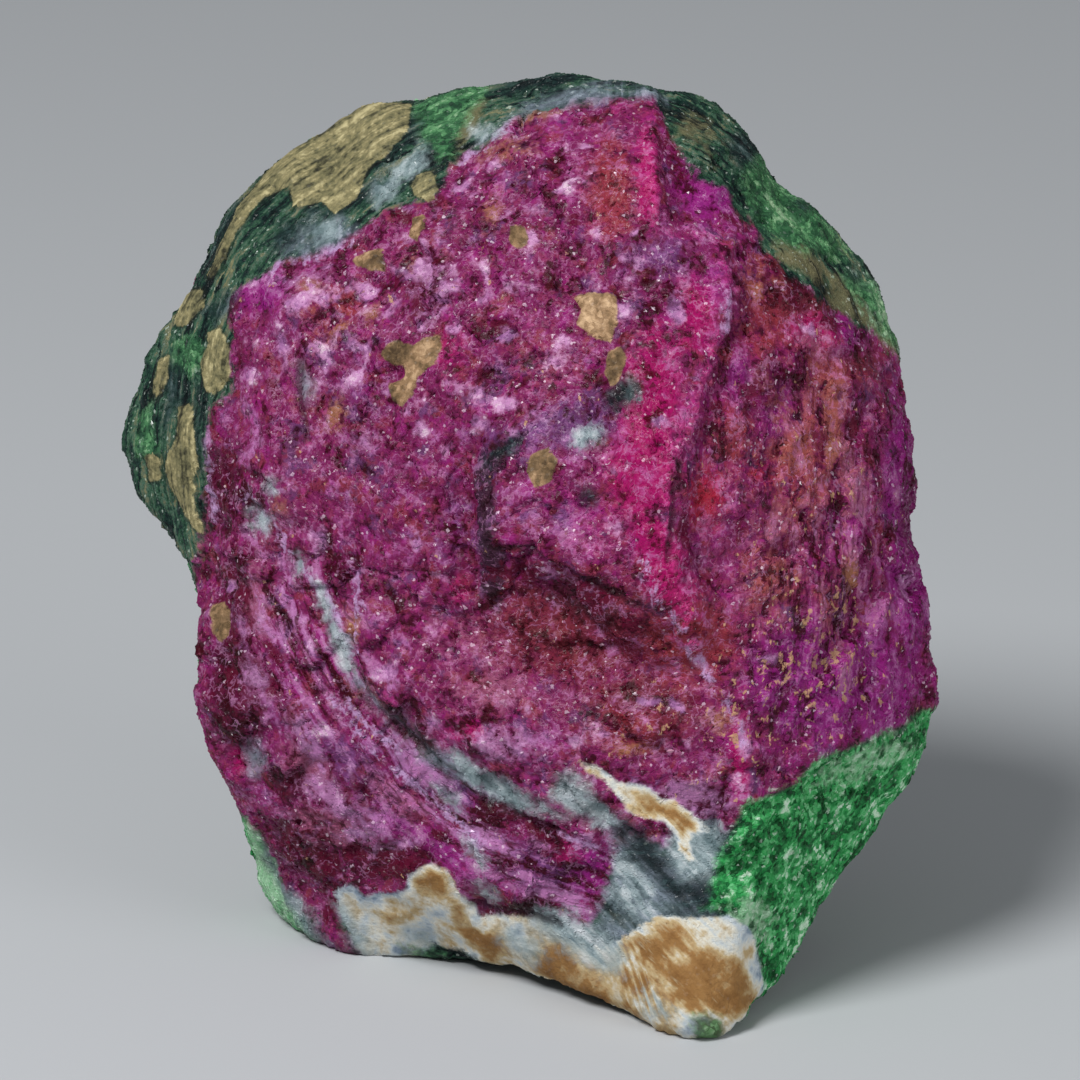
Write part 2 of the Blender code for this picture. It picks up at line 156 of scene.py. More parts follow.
         (-24, -36.5), (-26, -33.5), (-27.6, -30.2)],
        [(13, -26.5), (15.4, -26.3), (17.9, -26.7), (18.4, -28.6), (17.6, -30.2), (17.8, -31.8),
         (16, -32.2), (13.8, -31.2), (12.4, -29.6), (12.7, -28)],
    ],
    "slate": [
        [(-19.4, -10.8), (-18.1, -12.1), (-15.5, -14.3), (-12.6, -16.9), (-9.6, -19), (-6.8, -20.8),
         (-4, -22.8), (-1, -24.6), (-2, -25.2), (-5, -23.8), (-8.4, -21.6), (-11.4, -19.8),
         (-14.2, -16.9), (-17.1, -14), (-19, -12.2)],
        [(-0.6, -35.4), (2.3, -35.7), (5.2, -37.6), (8, -39.5), (7.7, -41.1), (6.1, -41.1),
         (3.6, -38.9), (0.4, -36.7)],
        [(5.5, -23.9), (7.2, -24.9), (8.8, -26.3), (10.4, -27.9), (12.6, -28.4), (13.1, -27),
         (13.6, -25.7), (15, -26.3), (17.4, -26.1), (18.7, -27.3), (18.1, -29), (17.7, -30.8),
         (17.9, -32.4), (17.3, -34), (17.6, -35.4), (16.6, -37), (15, -36.6), (12.2, -36.4),
         (10.4, -37.8), (8.4, -39), (6.4, -38.4), (5.2, -37), (5.8, -34.8), (6.4, -33), (7.4, -31),
         (7.4, -29), (6.8, -27.2), (5.2, -25.6)],
        [(-29.7, -19), (-28.2, -18.4), (-27.3, -19.5), (-27.8, -21), (-29.2, -20.8)],
        [(-25.4, 30.8), (-24, 32.6), (-21.6, 33.8), (-19.6, 34.2), (-18.6, 33.2), (-21, 31.6),
         (-23.4, 30.6)],
        [(10.6, -44.2), (12, -44), (12.2, -45), (11, -45.2)],
        [(-24.4, 19), (-23.7, 20), (-23.2, 18), (-23.6, 15.5), (-24.3, 16.5)],
        [(-2.8, 44.7), (0, 45.9), (3.5, 46.8), (6.8, 47.2), (11.2, 46.8), (12.6, 46.1), (11, 45.9),
         (6.8, 46.2), (2.3, 45.5), (-1.9, 44.2)],
    ],
    "black": [
        [(-26.8, 30.6), (-25.8, 33.4), (-23, 35.3), (-20.4, 35.4), (-17.8, 37.4), (-16.6, 36.2),
         (-18.6, 34.9), (-21.4, 34.3), (-24.2, 33), (-25.6, 31.2)],
        [(-33.9, 24.6), (-32.5, 26), (-31.3, 27.1), (-29.7, 26.5), (-31, 24.9), (-32.6, 23.4)],
        [(-34.4, 28), (-33.2, 31.6), (-31.7, 34.1), (-30.4, 36.6), (-29.7, 35.7), (-31.7, 32.2),
         (-33.2, 28.7)],
        [(-17.9, 36.1), (-16.3, 39.2), (-13.8, 42.1), (-12.8, 44.3), (-11.9, 44), (-12.5, 41.8),
         (-14.1, 40.2), (-16.3, 38), (-17.3, 36.1)],
        [(-5, 47), (-2, 48.2), (0.2, 48.6), (2.8, 49), (4.2, 48.6), (1.8, 47.2), (-1.4, 46.9),
         (-3.6, 46.3)],
        [(-37.7, 18.8), (-36.6, 19.4), (-35.8, 17.5), (-35.4, 15.5), (-36.4, 15.5), (-37.4, 12),
         (-38, 13.5), (-37.6, 16)],
        [(-34.4, 17.5), (-33.4, 16.5), (-33.6, 13), (-34.1, 9), (-34.5, 12)],
        [(18.7, 42), (20, 43.1), (21.7, 42.5), (22.1, 40.8), (21.1, 39.2), (19.5, 39.2)],
        [(25.7, 35.7), (26.4, 36.1), (26.8, 35), (26.1, 34.3)],
        [(14.2, -32.6), (15.8, -31.9), (17.4, -32.8), (17.5, -34.4), (16.6, -35.5), (15.4, -34.6)],
        [(8.5, -26.6), (9.9, -26.9), (11.9, -29.1), (13.4, -31.1), (14.7, -33.1), (16, -35.7),
         (14.7, -35.6), (12.6, -33.1), (11, -31.1), (9.4, -29.3)],
        [(31.2, 29.2), (32.2, 28.8), (32, 27.8), (31, 28.2)],
        [(-5.4, 9.8), (-4.2, 11.8), (-2, 12.2), (-2.8, 10.6), (-4.2, 9.2), (-5, 8.8)],
        [(3.7, 7), (5, 7.4), (6, 6.4), (5.4, 5.2), (4.1, 5.3)],
        [(6.4, 16.6), (7.8, 18), (10, 17.5), (9.4, 15.8), (8, 14.9), (6.7, 15.4)],
    ],
    "leaf": [
        [(15, -45.6), (16.5, -45.2), (18.4, -45.8), (18.7, -47.6), (17.2, -48.4), (15.4, -48)],
        [(-30, -26), (-28.3, -27.8), (-27.6, -30.2), (-26, -33.5), (-24, -36.5), (-22.2, -38.5),
         (-24, -40), (-27, -37), (-29.5, -33)],
        [(38.6, -15.1), (45, -13), (45, -24), (39, -29), (31, -34), (26, -44), (22.2, -45),
         (22.1, -41.5), (21.1, -37), (18.9, -35.4), (16, -35.1), (17, -32.5), (17.6, -30.6),
         (18.2, -28.7), (19.5, -27.4), (20.5, -24.6), (23, -23.5), (25.9, -22), (27.2, -20.4),
         (30.7, -18.8), (33.5, -17.9), (36.5, -16.7)],
    ],
    "moss": [
        [(-39.9, 14.4), (-38.7, 15), (-38.3, 11.2), (-39.3, 10.5), (-39.9, 11.8)],
        [(-36.1, 21.4), (-34.2, 22.3), (-33.6, 20.4), (-35.2, 18.5), (-36.1, 19.5)],
        [(-12.8, 45), (-10.9, 46), (-8.4, 47.4), (-6.2, 48.2), (-4.8, 47.4), (-6.2, 46),
         (-7.4, 44.2), (-8.4, 42.2), (-8.8, 40), (-10, 40), (-11.3, 41.3), (-12.2, 43)],
        [(19.8, 37.8), (20.8, 40.2), (22.4, 41), (24, 38.4), (26.5, 36.4), (28.8, 34), (30.5, 31.6),
         (31, 30), (28, 30.6), (25, 31.2), (22.6, 32.9), (21.1, 34.8)],
        [(30.5, 29), (33.2, 27.5), (35, 24.8), (36, 21.5), (34.5, 22.2), (32.8, 25), (31, 27)],
    ],
    "seep": [
        [(-1.4, -35), (2.3, -35.2), (5.4, -36.8), (8.2, -38.4), (8.8, -40.2), (7.9, -41.5),
         (6, -41.4), (3.2, -39.6), (0.2, -37.4)],
        [(-4, -36.5), (-2, -36.8), (0, -38.5), (0.8, -40.2), (-0.6, -40.6), (-2.8, -39),
         (-4.2, -37.8)],
        [(-20.6, -34), (-19.4, -34.4), (-18.2, -36.5), (-16.8, -38.4), (-17.4, -39.4), (-19, -38.5),
         (-20.2, -36.2)],
        [(10, -43.6), (11.6, -43.3), (13.2, -44.6), (12.6, -45.7), (10.5, -45.3)],
        [(-13.6, -36.8), (-11.6, -37), (-10, -37.8), (-11, -38.6), (-13, -38.4)],
    ],
    "sprig": [
        [(15, -45.6), (16.5, -45.2), (18.2, -45.7), (18.7, -47.4), (17.4, -48.6), (15.4, -48.2)],
        [(-14.2, -38.4), (-11.6, -38.8), (-9.4, -39), (-8.8, -39.8), (-12, -39.8), (-14, -39.4)],
    ],
}

RIDGES = [
    [(11.2, 44.8), (11, 41), (11.2, 37), (11.6, 33)],
    [(11.6, 33), (15, 32.6), (18.2, 32)],
    [(18.2, 32), (18.4, 27), (17.6, 22.5), (16.2, 17.5), (14.4, 13.5), (13.2, 10.5)],
    [(13.2, 10.5), (12.8, 6), (12.8, 3), (13.4, -1), (14.4, -6), (15.4, -9)],
    [(-18, 0), (-18.2, -5), (-17.4, -11.2), (-14, -15.2), (-10, -18.5)],
    [(-4, 12), (-5.4, 9), (-5.6, 4), (-4.8, 0)],
]

CRACKS = [
    [(-18.8, 0.5), (-18.6, -4), (-18.7, -9), (-17.8, -13), (-14, -17.2), (-10, -20)],
    [(-4.2, 1.2), (-1, 1), (2, -0.4), (6, -2.8), (10, -4.6)],
    [(13.6, 9.8), (13.2, 4), (12.8, 0)],
    [(-7, -34.5), (-2, -35.2), (2, -36.5)],
    [(-24, 20), (-24.2, 16), (-23.4, 12)],
]

WISPS = [
    [(-33.7, 14), (-33.4, 9), (-32.8, 4)],
    [(-29, 6.8), (-27.8, 4.8), (-25.5, 1.5), (-23.5, -1), (-21.8, -3.2), (-20.5, -5.5),
     (-19.2, -9.5)],
    [(18.2, 26.6), (18, 23)],
    [(-27.8, 28.5), (-25.5, 29.6), (-22, 30.8), (-19.5, 31.9)],
    [(-18.3, 0), (-18.2, -5), (-18.1, -9.5)],
    [(-21, -14), (-18, -18), (-14, -21.5), (-9, -25.5), (-6, -28.5)],
    [(15, -9), (17.2, -12.5), (19, -15.5), (20.2, -18.5)],
    [(-8.5, 39.8), (-5, 41.8), (-2, 44)],
    [(10, 0), (11.5, -4), (14, -6.5)],
    [(2, -27.5), (6, -29), (10, -32)],
    [(-19.5, -14), (-16.8, -16.8), (-14.2, -19.2)],
]

# Soft tints of the ruby on the show side: colour, and spots of (u, v, half width, half height,
# turn in degrees, weight).
TINTS = {
    "violet": ("#62386a", [
        (-7.5, 3, 5, 6, 0, 0.5), (12, 30.5, 6, 4, 0, 0.6), (3.5, 13.5, 8, 3, 10, 0.8),
        (-4, 12, 4, 3, 0, 0.6), (-20, -20, 8, 3, -35, 0.6), (-18, 17, 6, 5, 0, 0.4),
        (-10, -22, 8, 3, -35, 0.7), (2.5, 4, 3, 3, 0, 0.4), (1, -31, 7, 3, -20, 0.7),
    ]),
    "brown": ("#722632", [
        (4, -7, 12, 7, 0, 0.9), (24, 12, 9, 12, 0, 0.4), (22.5, 29, 3, 3, 0, 0.6),
        (10, -15, 8, 5, 0, 0.9), (26, 25, 7, 5, 0, 0.9), (31, 20, 5, 5, 0, 0.7),
        (-19, 24, 5, 3, 0, 0.4),
    ]),
    "rust": ("#8e3038", [
        (15.5, -8, 5.5, 5, 0, 1.0), (8.5, -16.5, 4, 3, 0, 0.55), (23, 23, 5, 6, 0, 0.6),
        (26, 9, 6, 8, 0, 0.6), (7, 37, 3, 6, 0, 0.9), (1, 20, 3, 4, 0, 0.5),
        (-20, 26, 3, 2, 0, 0.7), (19, 12, 3, 6, 0, 0.6),
    ]),
    "purple": ("#8c1c76", [
        (16.5, 37.5, 3.2, 4.8, 30, 1.0), (36.5, 2, 1.8, 16, 3, 1.0), (28, -12, 8, 7, 0, 1.0),
        (34, -13, 5, 6, 0, 1.0), (20, -6, 2.5, 5, 0, 0.4), (-28, 27, 4, 2.5, 0, 1.0),
        (6, -31, 4, 3, 0, 0.9), (20, 18, 2, 4, 0, 0.6), (17, 28, 3, 5, 0, 0.5),
        (30, 4, 3, 6, 0, 0.6), (24, 15, 2.5, 5, 0, 0.9), (31, 23, 3, 3, 0, 0.8),
        (27, 28, 2, 2, 0, 0.6), (-28, -17, 3, 5, 0, 0.5), (-12, -28, 6, 2, -35, 0.8),
    ]),
    # magenta: saturated patches of the ruby; the narrow spot at (10.6, 38.5), along the top ridge,
    # is a painted highlight on its crest.
    "magenta": ("#a0085a", [
        (11, 16, 3.4, 8, -8, 1.0), (10, 8.5, 4.0, 5.5, 0, 1.0), (12, 0, 2.6, 7.5, 20, 1.0),
        (10.6, 38.5, 1.4, 6.5, 0, 0.9), (15.5, 24, 2.8, 6, 0, 0.7), (27, 23, 2.5, 2, 0, 0.9),
        (8, 44.6, 3, 1.6, 0, 0.35), (20, -19, 1.2, 6, 0, 0.9), (6, 3, 4, 4, 0, 0.4),
        (27.3, 22.6, 3, 2, 0, 0.9), (2.2, -29.2, 2.4, 1.3, -30, 1.0),
        (-30, -20, 1.8, 1.2, -50, 0.9), (-6.8, -17.2, 3, 1.8, 0, 0.8), (-9, 20.5, 2.2, 4, 0, 0.6),
        (-8, -3, 1.6, 3, 0, 0.5),
    ]),
    "scarlet": ("#a01a30", [
        (16.5, 6, 2.6, 4.6, 0, 0.7), (22, 9, 3, 3, 0, 0.5),
    ]),
    "maroon": ("#480620", [
        (25, 27, 4, 3, 0, 0.7), (10.5, 17, 3, 3, 0, 0.4), (37, 4, 1.4, 12, 0, 0.5),
        (-14.8, -30, 4.2, 1.9, 10, 1.2), (-23.6, -29, 4, 1.8, -40, 1.2),
        (-3.8, -24.5, 2.8, 1.5, -30, 1.2), (0.5, -27.6, 2.4, 1.6, -45, 1.2),
        (-31, -11, 2.5, 6, 0, 0.9), (-29.8, -16.5, 3, 2.4, 0, 1.0), (-25, -22, 3, 2, -40, 0.9),
        (-32, 8, 2.5, 5, 0, 0.8), (-30, -3, 3, 5, 0, 0.7), (-12, 25, 2, 5, 20, 0.5),
        (23, 17, 2, 4, 0, 0.7), (-2, -35, 5, 1.5, 10, 0.9),
    ]),
    # shadow: the dark band of mineral along the left of the boss, deepened by painted shade, and
    # painted shade under the boss's overhanging lower edge.
    "shadow": ("#262028", [
        (-4.7, -1.4, 1.3, 3.4, 0, 1.4), (-5.4, 5, 1.0, 5.5, 0, 1.4),
        (-3.4, 10.4, 2.6, 0.9, 48, 1.2), (3.5, -4, 8, 1.7, -28, 0.6),
    ]),
    "amber": ("#9a6846", [
        (-23.1, 27.3, 1.8, 1.4, 0, 0.7), (-20.4, 22.8, 2, 1.6, 30, 0.6),
        (-16.8, 24.6, 1.6, 2.4, 0, 0.5), (-20.4, 14.6, 1.5, 2.4, 0, 0.7),
        (-13, 30, 1.5, 1.5, 0, 0.6), (29, 12, 1.4, 3.6, 0, 0.7), (22, 27, 1.6, 1.6, 0, 0.5),
        (9, -19, 2.4, 1.4, 0, 0.5), (-18.4, -7, 0.9, 1.6, 0, 0.9), (-25.8, 5.4, 1.4, 1.6, 0, 0.5),
        (31, -2, 1.2, 3, 0, 0.7), (18, -16, 2, 2, 0, 0.6), (-3, 41, 4, 1.6, 10, 0.6),
        (-5, 34.5, 1.6, 3, 0, 0.6), (-1, 44.4, 4, 1.2, 8, 0.8),
    ]),
    "rose": ("#9a5472", [
        (-21.4, -26.7, 4.5, 1.8, -25, 1.0), (-23.2, -20.3, 3.5, 1.6, -40, 0.9),
        (-28, -4, 2, 6, 0, 0.6), (-26, 5, 5, 8, 0, 0.35), (-14, -24, 5, 1.6, -35, 0.7),
        (-8, -8, 5, 4, 0, 0.5), (-5, -13, 6, 4, 0, 0.6), (27, 22, 2, 2, 0, 0.6),
        (31, 8, 2, 4, 0, 0.6), (24, 4, 2, 3, 0, 0.5),
    ]),
    "tawny": ("#9c5248", [
        (27, 11, 7, 15, 0, 0.5), (23, -2, 4, 6, 0, 0.6), (29, -5, 2.5, 6, 20, 0.5),
        (25.5, 11, 3, 3, 0, 0.9), (21.7, 28, 3, 4, 0, 0.45), (29.5, 15, 1.6, 5, 0, 0.8),
        (-22, 24, 3, 3, 0, 0.5), (-24, 18, 2.5, 5, 0, 0.4),
    ]),
    "lilac": ("#a06c98", [
        (15, -24, 5, 2.2, 0, 1.0), (-3, -18.5, 4, 2.5, 0, 0.7), (-24, 28, 5, 2, 20, 0.5),
        (-11, 28, 3, 4, 0, 0.7), (-18, 12, 3, 3, 0, 0.5), (9, -14, 4, 2, 0, 0.4),
        (-14.8, -12.2, 3, 2.4, 0, 0.35), (-24, -17, 1.6, 5, 30, 0.7), (-20, -24, 6, 1.6, -35, 0.8),
        (-12, -20.5, 6, 1.5, -40, 0.8), (-6, -27, 5, 1.4, -35, 0.7), (-28.4, -12, 1.6, 4, 0, 0.6),
        (-25, -7, 1.5, 4, 10, 0.6), (2, -33.4, 5, 1.3, -20, 0.5), (-17, -28.4, 3, 1.3, -30, 0.6),
        (-27, -5, 5, 10, 0, 0.25), (-9, -6, 7, 6, 0, 0.2), (-4, -29, 8, 3, -30, 0.35),
        (-28, 12, 3, 4, 0, 0.3),
    ]),
}

# Spots of the same kind: where the ruby is dappled with pale grains, spotted with dark ones and
# flecked with gold, where the green is minted or olive, and where the crusts are chalky.
DAPPLED = [
    (-22, 24, 11, 8, 0, 0.8), (-8, 30, 12, 9, 0, 0.7), (-14, 14, 10, 7, 0, 0.6),
    (2, 36, 8, 6, 0, 0.5), (-28, -8, 6, 14, 0, 0.6), (-20, -22, 10, 9, 0, 0.7),
    (-4, -18, 8, 4, 0, 0.8), (0, 15, 9, 4, 0, 0.6), (15, -22, 7, 5, 0, 0.7),
    (28, 12, 8, 16, 0, 0.4), (10, 26, 4, 8, 0, 0.5), (11, 12, 4, 8, 0, 0.3),
    (-27.5, 28.4, 2.6, 1.1, 20, 2.2), (-20.8, 31.3, 2.2, 0.9, 25, 2.2),
    (-22.8, 26, 2.6, 1.3, 25, 2.8), (-25.8, 22.5, 1.5, 2.2, 0, 1.9), (-20, 22.6, 1.8, 1.1, 0, 2.0),
    (-17.6, 21, 2.2, 1.1, -15, 2.0), (-18.5, 18.3, 1.9, 1.0, 30, 2.5), (-17, 27, 1.0, 0.9, 0, 2.2),
    (-11.4, 30.1, 1.7, 1.5, 0, 2.4), (-10, 32.8, 0.9, 1.6, 0, 1.9),
    (-10.3, 25.2, 0.9, 2.4, 12, 2.4), (-8.6, 23, 1.6, 0.8, -15, 2.3), (-8, 37.5, 1.5, 1.0, 0, 2.3),
    (-5.9, 42.4, 1.7, 1.3, 35, 2.7), (-3.4, 43.6, 1.6, 1.0, 0, 2.1), (-4.7, 39.4, 0.9, 1.7, 0, 2.2),
    (-5.2, 28.2, 0.8, 1.9, 0, 2.4), (-0.9, 32.1, 0.8, 1.2, 20, 2.4),
    (-3.3, 15.7, 2.0, 0.8, -12, 2.6), (-5.6, 17.2, 1.5, 1.0, 0, 1.9),
    (-3.6, 22.4, 1.4, 0.8, 0, 1.9), (-28.6, 18.5, 1.4, 1.1, 0, 1.9), (-33, 12.4, 0.7, 2.2, 0, 2.1),
    (-11.8, 13, 1.5, 1.0, 0, 2.0), (-6, 13.4, 1.5, 1.2, 0, 1.9), (1.8, 19.6, 2.2, 1.6, 0, 1.9),
    (2.6, 21.8, 1.0, 0.8, 0, 2.6), (2.4, 36.8, 1.3, 0.7, 15, 2.6), (5.8, 32, 0.7, 1.1, 0, 2.2),
    (9.4, 32.6, 0.8, 0.7, 0, 2.7), (7.9, 30.2, 0.7, 1.1, 0, 2.4), (13.6, 24.8, 1.2, 2.2, 0, 2.0),
    (14, 29, 1.2, 2.0, 0, 1.9), (12.6, 38, 1.3, 0.8, 0, 1.8), (16.8, 32.3, 1.3, 1.1, 0, 1.9),
    (12.6, 14.2, 1.5, 0.8, 0, 2.0), (8.6, 24.8, 0.7, 1.1, 0, 2.2), (-28, 4.2, 1.0, 1.7, 10, 2.6),
    (-26.4, 6.9, 1.1, 0.7, 0, 2.3), (-24.4, -0.6, 0.8, 2.2, 12, 2.3),
    (-22.2, 2.2, 1.3, 2.6, 10, 2.0), (-31.2, -2.6, 0.9, 0.9, 0, 2.1),
    (-29.6, -6.6, 1.1, 1.3, 0, 2.1), (-27.8, -6, 1.0, 1.1, 0, 1.9),
    (-29.4, -11.4, 1.2, 0.8, 0, 2.0), (-22.8, -8.4, 0.9, 3.0, 5, 2.0), (-12, 1.6, 1.2, 1.0, 0, 1.8),
    (-15.5, -11.4, 1.1, 1.0, 0, 2.4), (-5, -17.4, 2.2, 1.5, 0, 1.9),
    (-21.5, -17.2, 1.5, 1.0, -30, 1.9), (-22.5, -20.8, 1.5, 0.9, -30, 1.9),
    (-22.6, -23.2, 2.2, 0.9, -20, 1.9), (-19.3, -24.2, 2.0, 1.1, -20, 1.9),
    (-18.6, -27.4, 2.0, 0.9, 0, 2.0), (-13.2, -28.4, 2.2, 0.8, 8, 2.0),
    (-8.2, -24.4, 2.0, 0.5, -45, 2.3), (-10.2, -16.2, 1.3, 0.8, -30, 2.2),
    (4.8, -28, 2.2, 1.6, -30, 1.9), (6.8, 3.2, 1.3, 0.8, 0, 2.0), (16.4, -10.8, 0.6, 2.6, 28, 2.4),
    (10.6, -14.1, 1.4, 0.7, -15, 2.5), (13.7, -14.8, 1.3, 0.7, 0, 2.4),
    (20.2, -17.6, 0.8, 2.6, 15, 2.1), (4, -18.2, 1.6, 1.0, 0, 2.0), (15, -22.8, 2.4, 1.1, 0, 2.1),
    (18.4, -24.4, 1.5, 1.0, 0, 2.0), (27.2, 22.8, 1.4, 1.1, 0, 1.6), (22.8, -10, 1.5, 0.8, 0, 1.7),
    (37, -4, 0.4, 6, 0, 1.9),
]
SPOTTED = [
    (-29, -10, 6, 14, 0, 0.8), (-20, -24, 12, 10, 0, 0.8), (-30, 8, 5, 10, 0, 0.7),
    (0, -29, 9, 5, 0, 0.7), (-6, 30, 12, 8, 0, 0.4), (-8, 14, 9, 8, 0, 0.4),
    (16, -10, 8, 10, 0, 0.4), (2, 0, 10, 8, 0, 0.3), (27, 14, 8, 14, 0, 0.6),
    (28, -10, 10, 8, 0, 0.5), (-29.6, 20.6, 1.4, 3.6, 0, 1.5), (-26.8, 17.4, 1.3, 1.6, 0, 1.4),
    (-12.6, 27.4, 1.1, 2.4, 0, 1.6), (-13.9, 18.7, 1.2, 0.9, 0, 1.8),
    (-9.6, 36.4, 1.2, 1.2, 0, 1.6), (-13.8, 34.6, 1.2, 1.2, 0, 1.5), (-3.8, 23.6, 1.4, 1.1, 0, 1.5),
    (-19.4, 12.8, 1.2, 1.2, 0, 1.5), (-8, 12.8, 1.0, 2.2, 0, 1.5), (13, 42, 1.0, 3.0, 18, 1.4),
    (19.6, 33.8, 1.2, 2.6, 20, 1.6), (29, 23.6, 1.3, 1.1, 0, 1.8), (26, 25.6, 1.2, 1.0, 0, 1.5),
    (21, 16, 1.6, 2.0, 0, 1.5), (17.6, 15.6, 1.0, 2.2, 0, 1.5), (14.2, 1.5, 0.8, 3.6, 0, 1.9),
    (-1.6, -1.4, 3.6, 1.2, 0, 1.5), (5, -3.6, 2.2, 1.1, -20, 2.0), (9, -6.6, 1.8, 1.6, 0, 1.6),
    (-7.6, 3.6, 1.0, 2.2, 0, 1.5), (15.6, -14.4, 1.2, 1.8, 0, 1.5),
    (-3.5, -24.7, 2.2, 0.9, -35, 2.4), (-0.4, -27.4, 1.7, 1.0, -35, 2.2),
    (-10.4, -27.6, 1.3, 0.8, 0, 1.9), (-14.6, -30.6, 3.8, 1.3, 8, 2.6),
    (-18.6, -29.6, 1.8, 1.0, 0, 2.0), (-22, -30.4, 1.7, 2.4, 35, 2.2),
    (-25, -27.4, 1.3, 2.8, 35, 2.0), (-21.4, -34.2, 0.7, 3.0, 10, 2.2),
    (-24.6, -22, 1.6, 1.0, 0, 1.7), (-29, -3.6, 1.3, 1.7, 0, 1.7), (-31, -12, 1.0, 3.0, 0, 1.6),
    (-27, -12.4, 1.0, 2.0, 0, 1.6), (-31.4, 8, 0.8, 3.0, 0, 1.6), (-26, -9.4, 0.9, 1.5, 0, 1.5),
    (2.2, -29.4, 1.5, 0.9, -20, 1.4), (31.6, 12, 0.8, 3.0, 0, 1.5), (25, -13, 1.8, 1.8, 0, 1.3),
    (33, -12, 1.8, 2.4, 0, 1.4), (20.2, 3, 0.8, 2.2, 0, 1.4), (35.6, -9.6, 0.7, 3.4, -10, 1.6),
    (7, -32, 1.3, 0.5, -10, 1.9),
]
FLECKED = [
    (27, -10, 9, 10, 0, 1.0), (20, -16, 6, 8, 0, 0.8), (30, 2, 6, 10, 0, 0.6),
    (24, 14, 6, 6, 0, 0.4), (12, -18, 6, 4, 0, 0.5),
]
MINTED = [
    (-27, -32, 3, 9, 28, 1.2), (34.5, 25, 2.6, 6, 30, 0.9), (33, -20, 8, 2.4, 22, 0.9),
    (20.5, -36.5, 4, 4, 0, 1.0), (23.4, 36.4, 1.6, 4, 30, 0.6), (-39.4, 12.5, 1.2, 3, 0, 0.6),
]
CHALKY = [
    (-23, -31, 6, 4, -20, 1.0), (-2.6, -37.5, 3.5, 2, -15, 0.6), (19.2, -37.6, 3, 2.2, 0, 1.1),
    (21.4, -41, 1, 2.6, 10, 1.0), (12.4, -46.6, 3, 1.2, -10, 0.8), (14.2, -45.8, 1, 1.3, 0, 1.3),
    (5.2, -39, 4, 1.4, -30, 0.9), (11.2, -44.5, 1.5, 1, 0, 1.2), (-14, -35, 6.5, 4, 0, 1.25),
    (11, -25.5, 6, 4, -40, 0.8), (5.5, 24.4, 4, 4, 0, 1.0),
]
OLIVE = [
    (-7.2, 43.4, 0.9, 3.4, -28, 0.9), (26.5, 29.8, 4, 1.5, -38, 1.0),
    (31.5, 25.8, 4, 1.6, -50, 1.0), (34.4, 21.5, 1.4, 3.5, 20, 1.0), (15.5, 43, 4, 2.4, -30, 0.55),
]

# Where the ruby itself is streaked along the rock's layers.
LAYERED = [
    (-22, -8, 8, 14, 10, 1.0), (-10, -24, 14, 7, -38, 1.0), (-2, -31, 14, 4, -30, 1.0),
    (30, 0, 8, 24, 0, 0.8), (18, 14, 4, 14, 0, 0.5), (-29, 8, 4, 14, 0, 0.9),
]

# Where the ochre, slate and pale patches outside the ruby are streaked down to the right.
SLANTED = [
    (11, -32, 9, 8, -40, 1.6), (14, -43, 8, 5, -30, 1.0), (5, -38.6, 5, 2.4, -35, 1.2),
]

# The rock's layers bend round these places, in the ruby and in the rim of zoisite. Right of
# UPRIGHT the ruby's layers stand upright, and below UPRIGHT_FOOT they don't.
SWIRL = (16.0, 9.0)
RIM_SWIRL = (0.0, 12.0)
UPRIGHT = (6.0, 16.0)
UPRIGHT_FOOT = (-26.0, -20.0)
SWIRL_LEAN = 0.4  # how far the layers lean in as they go back
RIM_LEAN = -0.4

# Zones of the rock away from the show side, where thick noise is over a threshold: size of the
# noise in millimetres, its threshold and where in the noise they lie.
REAR_ZONES = {
    "ruby": (26.0, 0.14, 11.0), "crust": (13.0, 0.4, 23.0), "leaf": (20.0, 0.12, 37.0),
    "black": (12.0, 0.26, 51.0), "pale": (8.0, 0.42, 67.0),
}
REAR_LAYERS = (0.55, 0.75, 0.35)  # the way across the layers there

# Lines that are seen in the colour too: the lines, and their half width in millimetres. Along
# the cracks the colour is darkened as painted shade, and along the ridge crests it is lightened
# as a painted highlight.
LINES = {"wisp": (WISPS, 0.9), "fissure": (CRACKS[1:], 0.5), "crest": (RIDGES[:4], 0.9)}

# All spots by name, and all that is drawn on the skin, three values to an attribute.
SPOTS = {
    **{name: blobs for name, (_, blobs) in TINTS.items()},
    "dappled": DAPPLED, "spotted": SPOTTED, "flecked": FLECKED, "minted": MINTED,
    "olive": OLIVE, "chalky": CHALKY, "slanted": SLANTED,
}
DRAWN = [*ZONES, *SPOTS, *LINES, "layered"]
TRIOS = [DRAWN[first:first + 3] for first in range(0, len(DRAWN), 3)]

# The skin.
FACE_QUADS = 156  # along each edge of the show side and the back
SIDE_QUADS = 72  # from front to back
FRONT_FACING = (-0.45, 0.05)  # how far a place is turned to the front to be drawn as the show side
FRONT_SWAY = 0.3  # how much that wanders
DEEPEST = 6.0  # millimetres from an outline, beyond which its depth isn't told
ON_TABLE = (0.8, 1.6)  # no grains are strewn as near as this to the table, in millimetres

LIT = (0.0, 0.0, 0.04)  # where the lights aim, in metres

# The grains.
GRAIN_SIZES = ((0.35, 0.22, 0.5), (0.95, 0.6, 1.0))  # least and most, of what is asked for
GRAIN_CORNERS = 24  # eight triangles
GRAIN_SINK = 0.35  # the share of its height that a grain is sunk by
GRAIN_CORNER_UVS = ((0.15, 0.15), (0.85, 0.15), (0.5, 0.85))  # in its own square of the map


def face_axes():
    lean = math.radians(LEAN_DEG)
    return np.array([
        (1.0, 0.0, 0.0),
        (0.0, math.sin(lean), math.cos(lean)),
        (0.0, -math.cos(lean), math.sin(lean)),
    ])


AXES = face_axes()


def place(corners):
    """Points of the show face's frame in the part's frame, both in millimetres."""
    return np.asarray(corners) @ AXES + ORIGIN


def unplace(points):
    """The other way round."""
    return (np.asarray(points) - ORIGIN) @ AXES.T


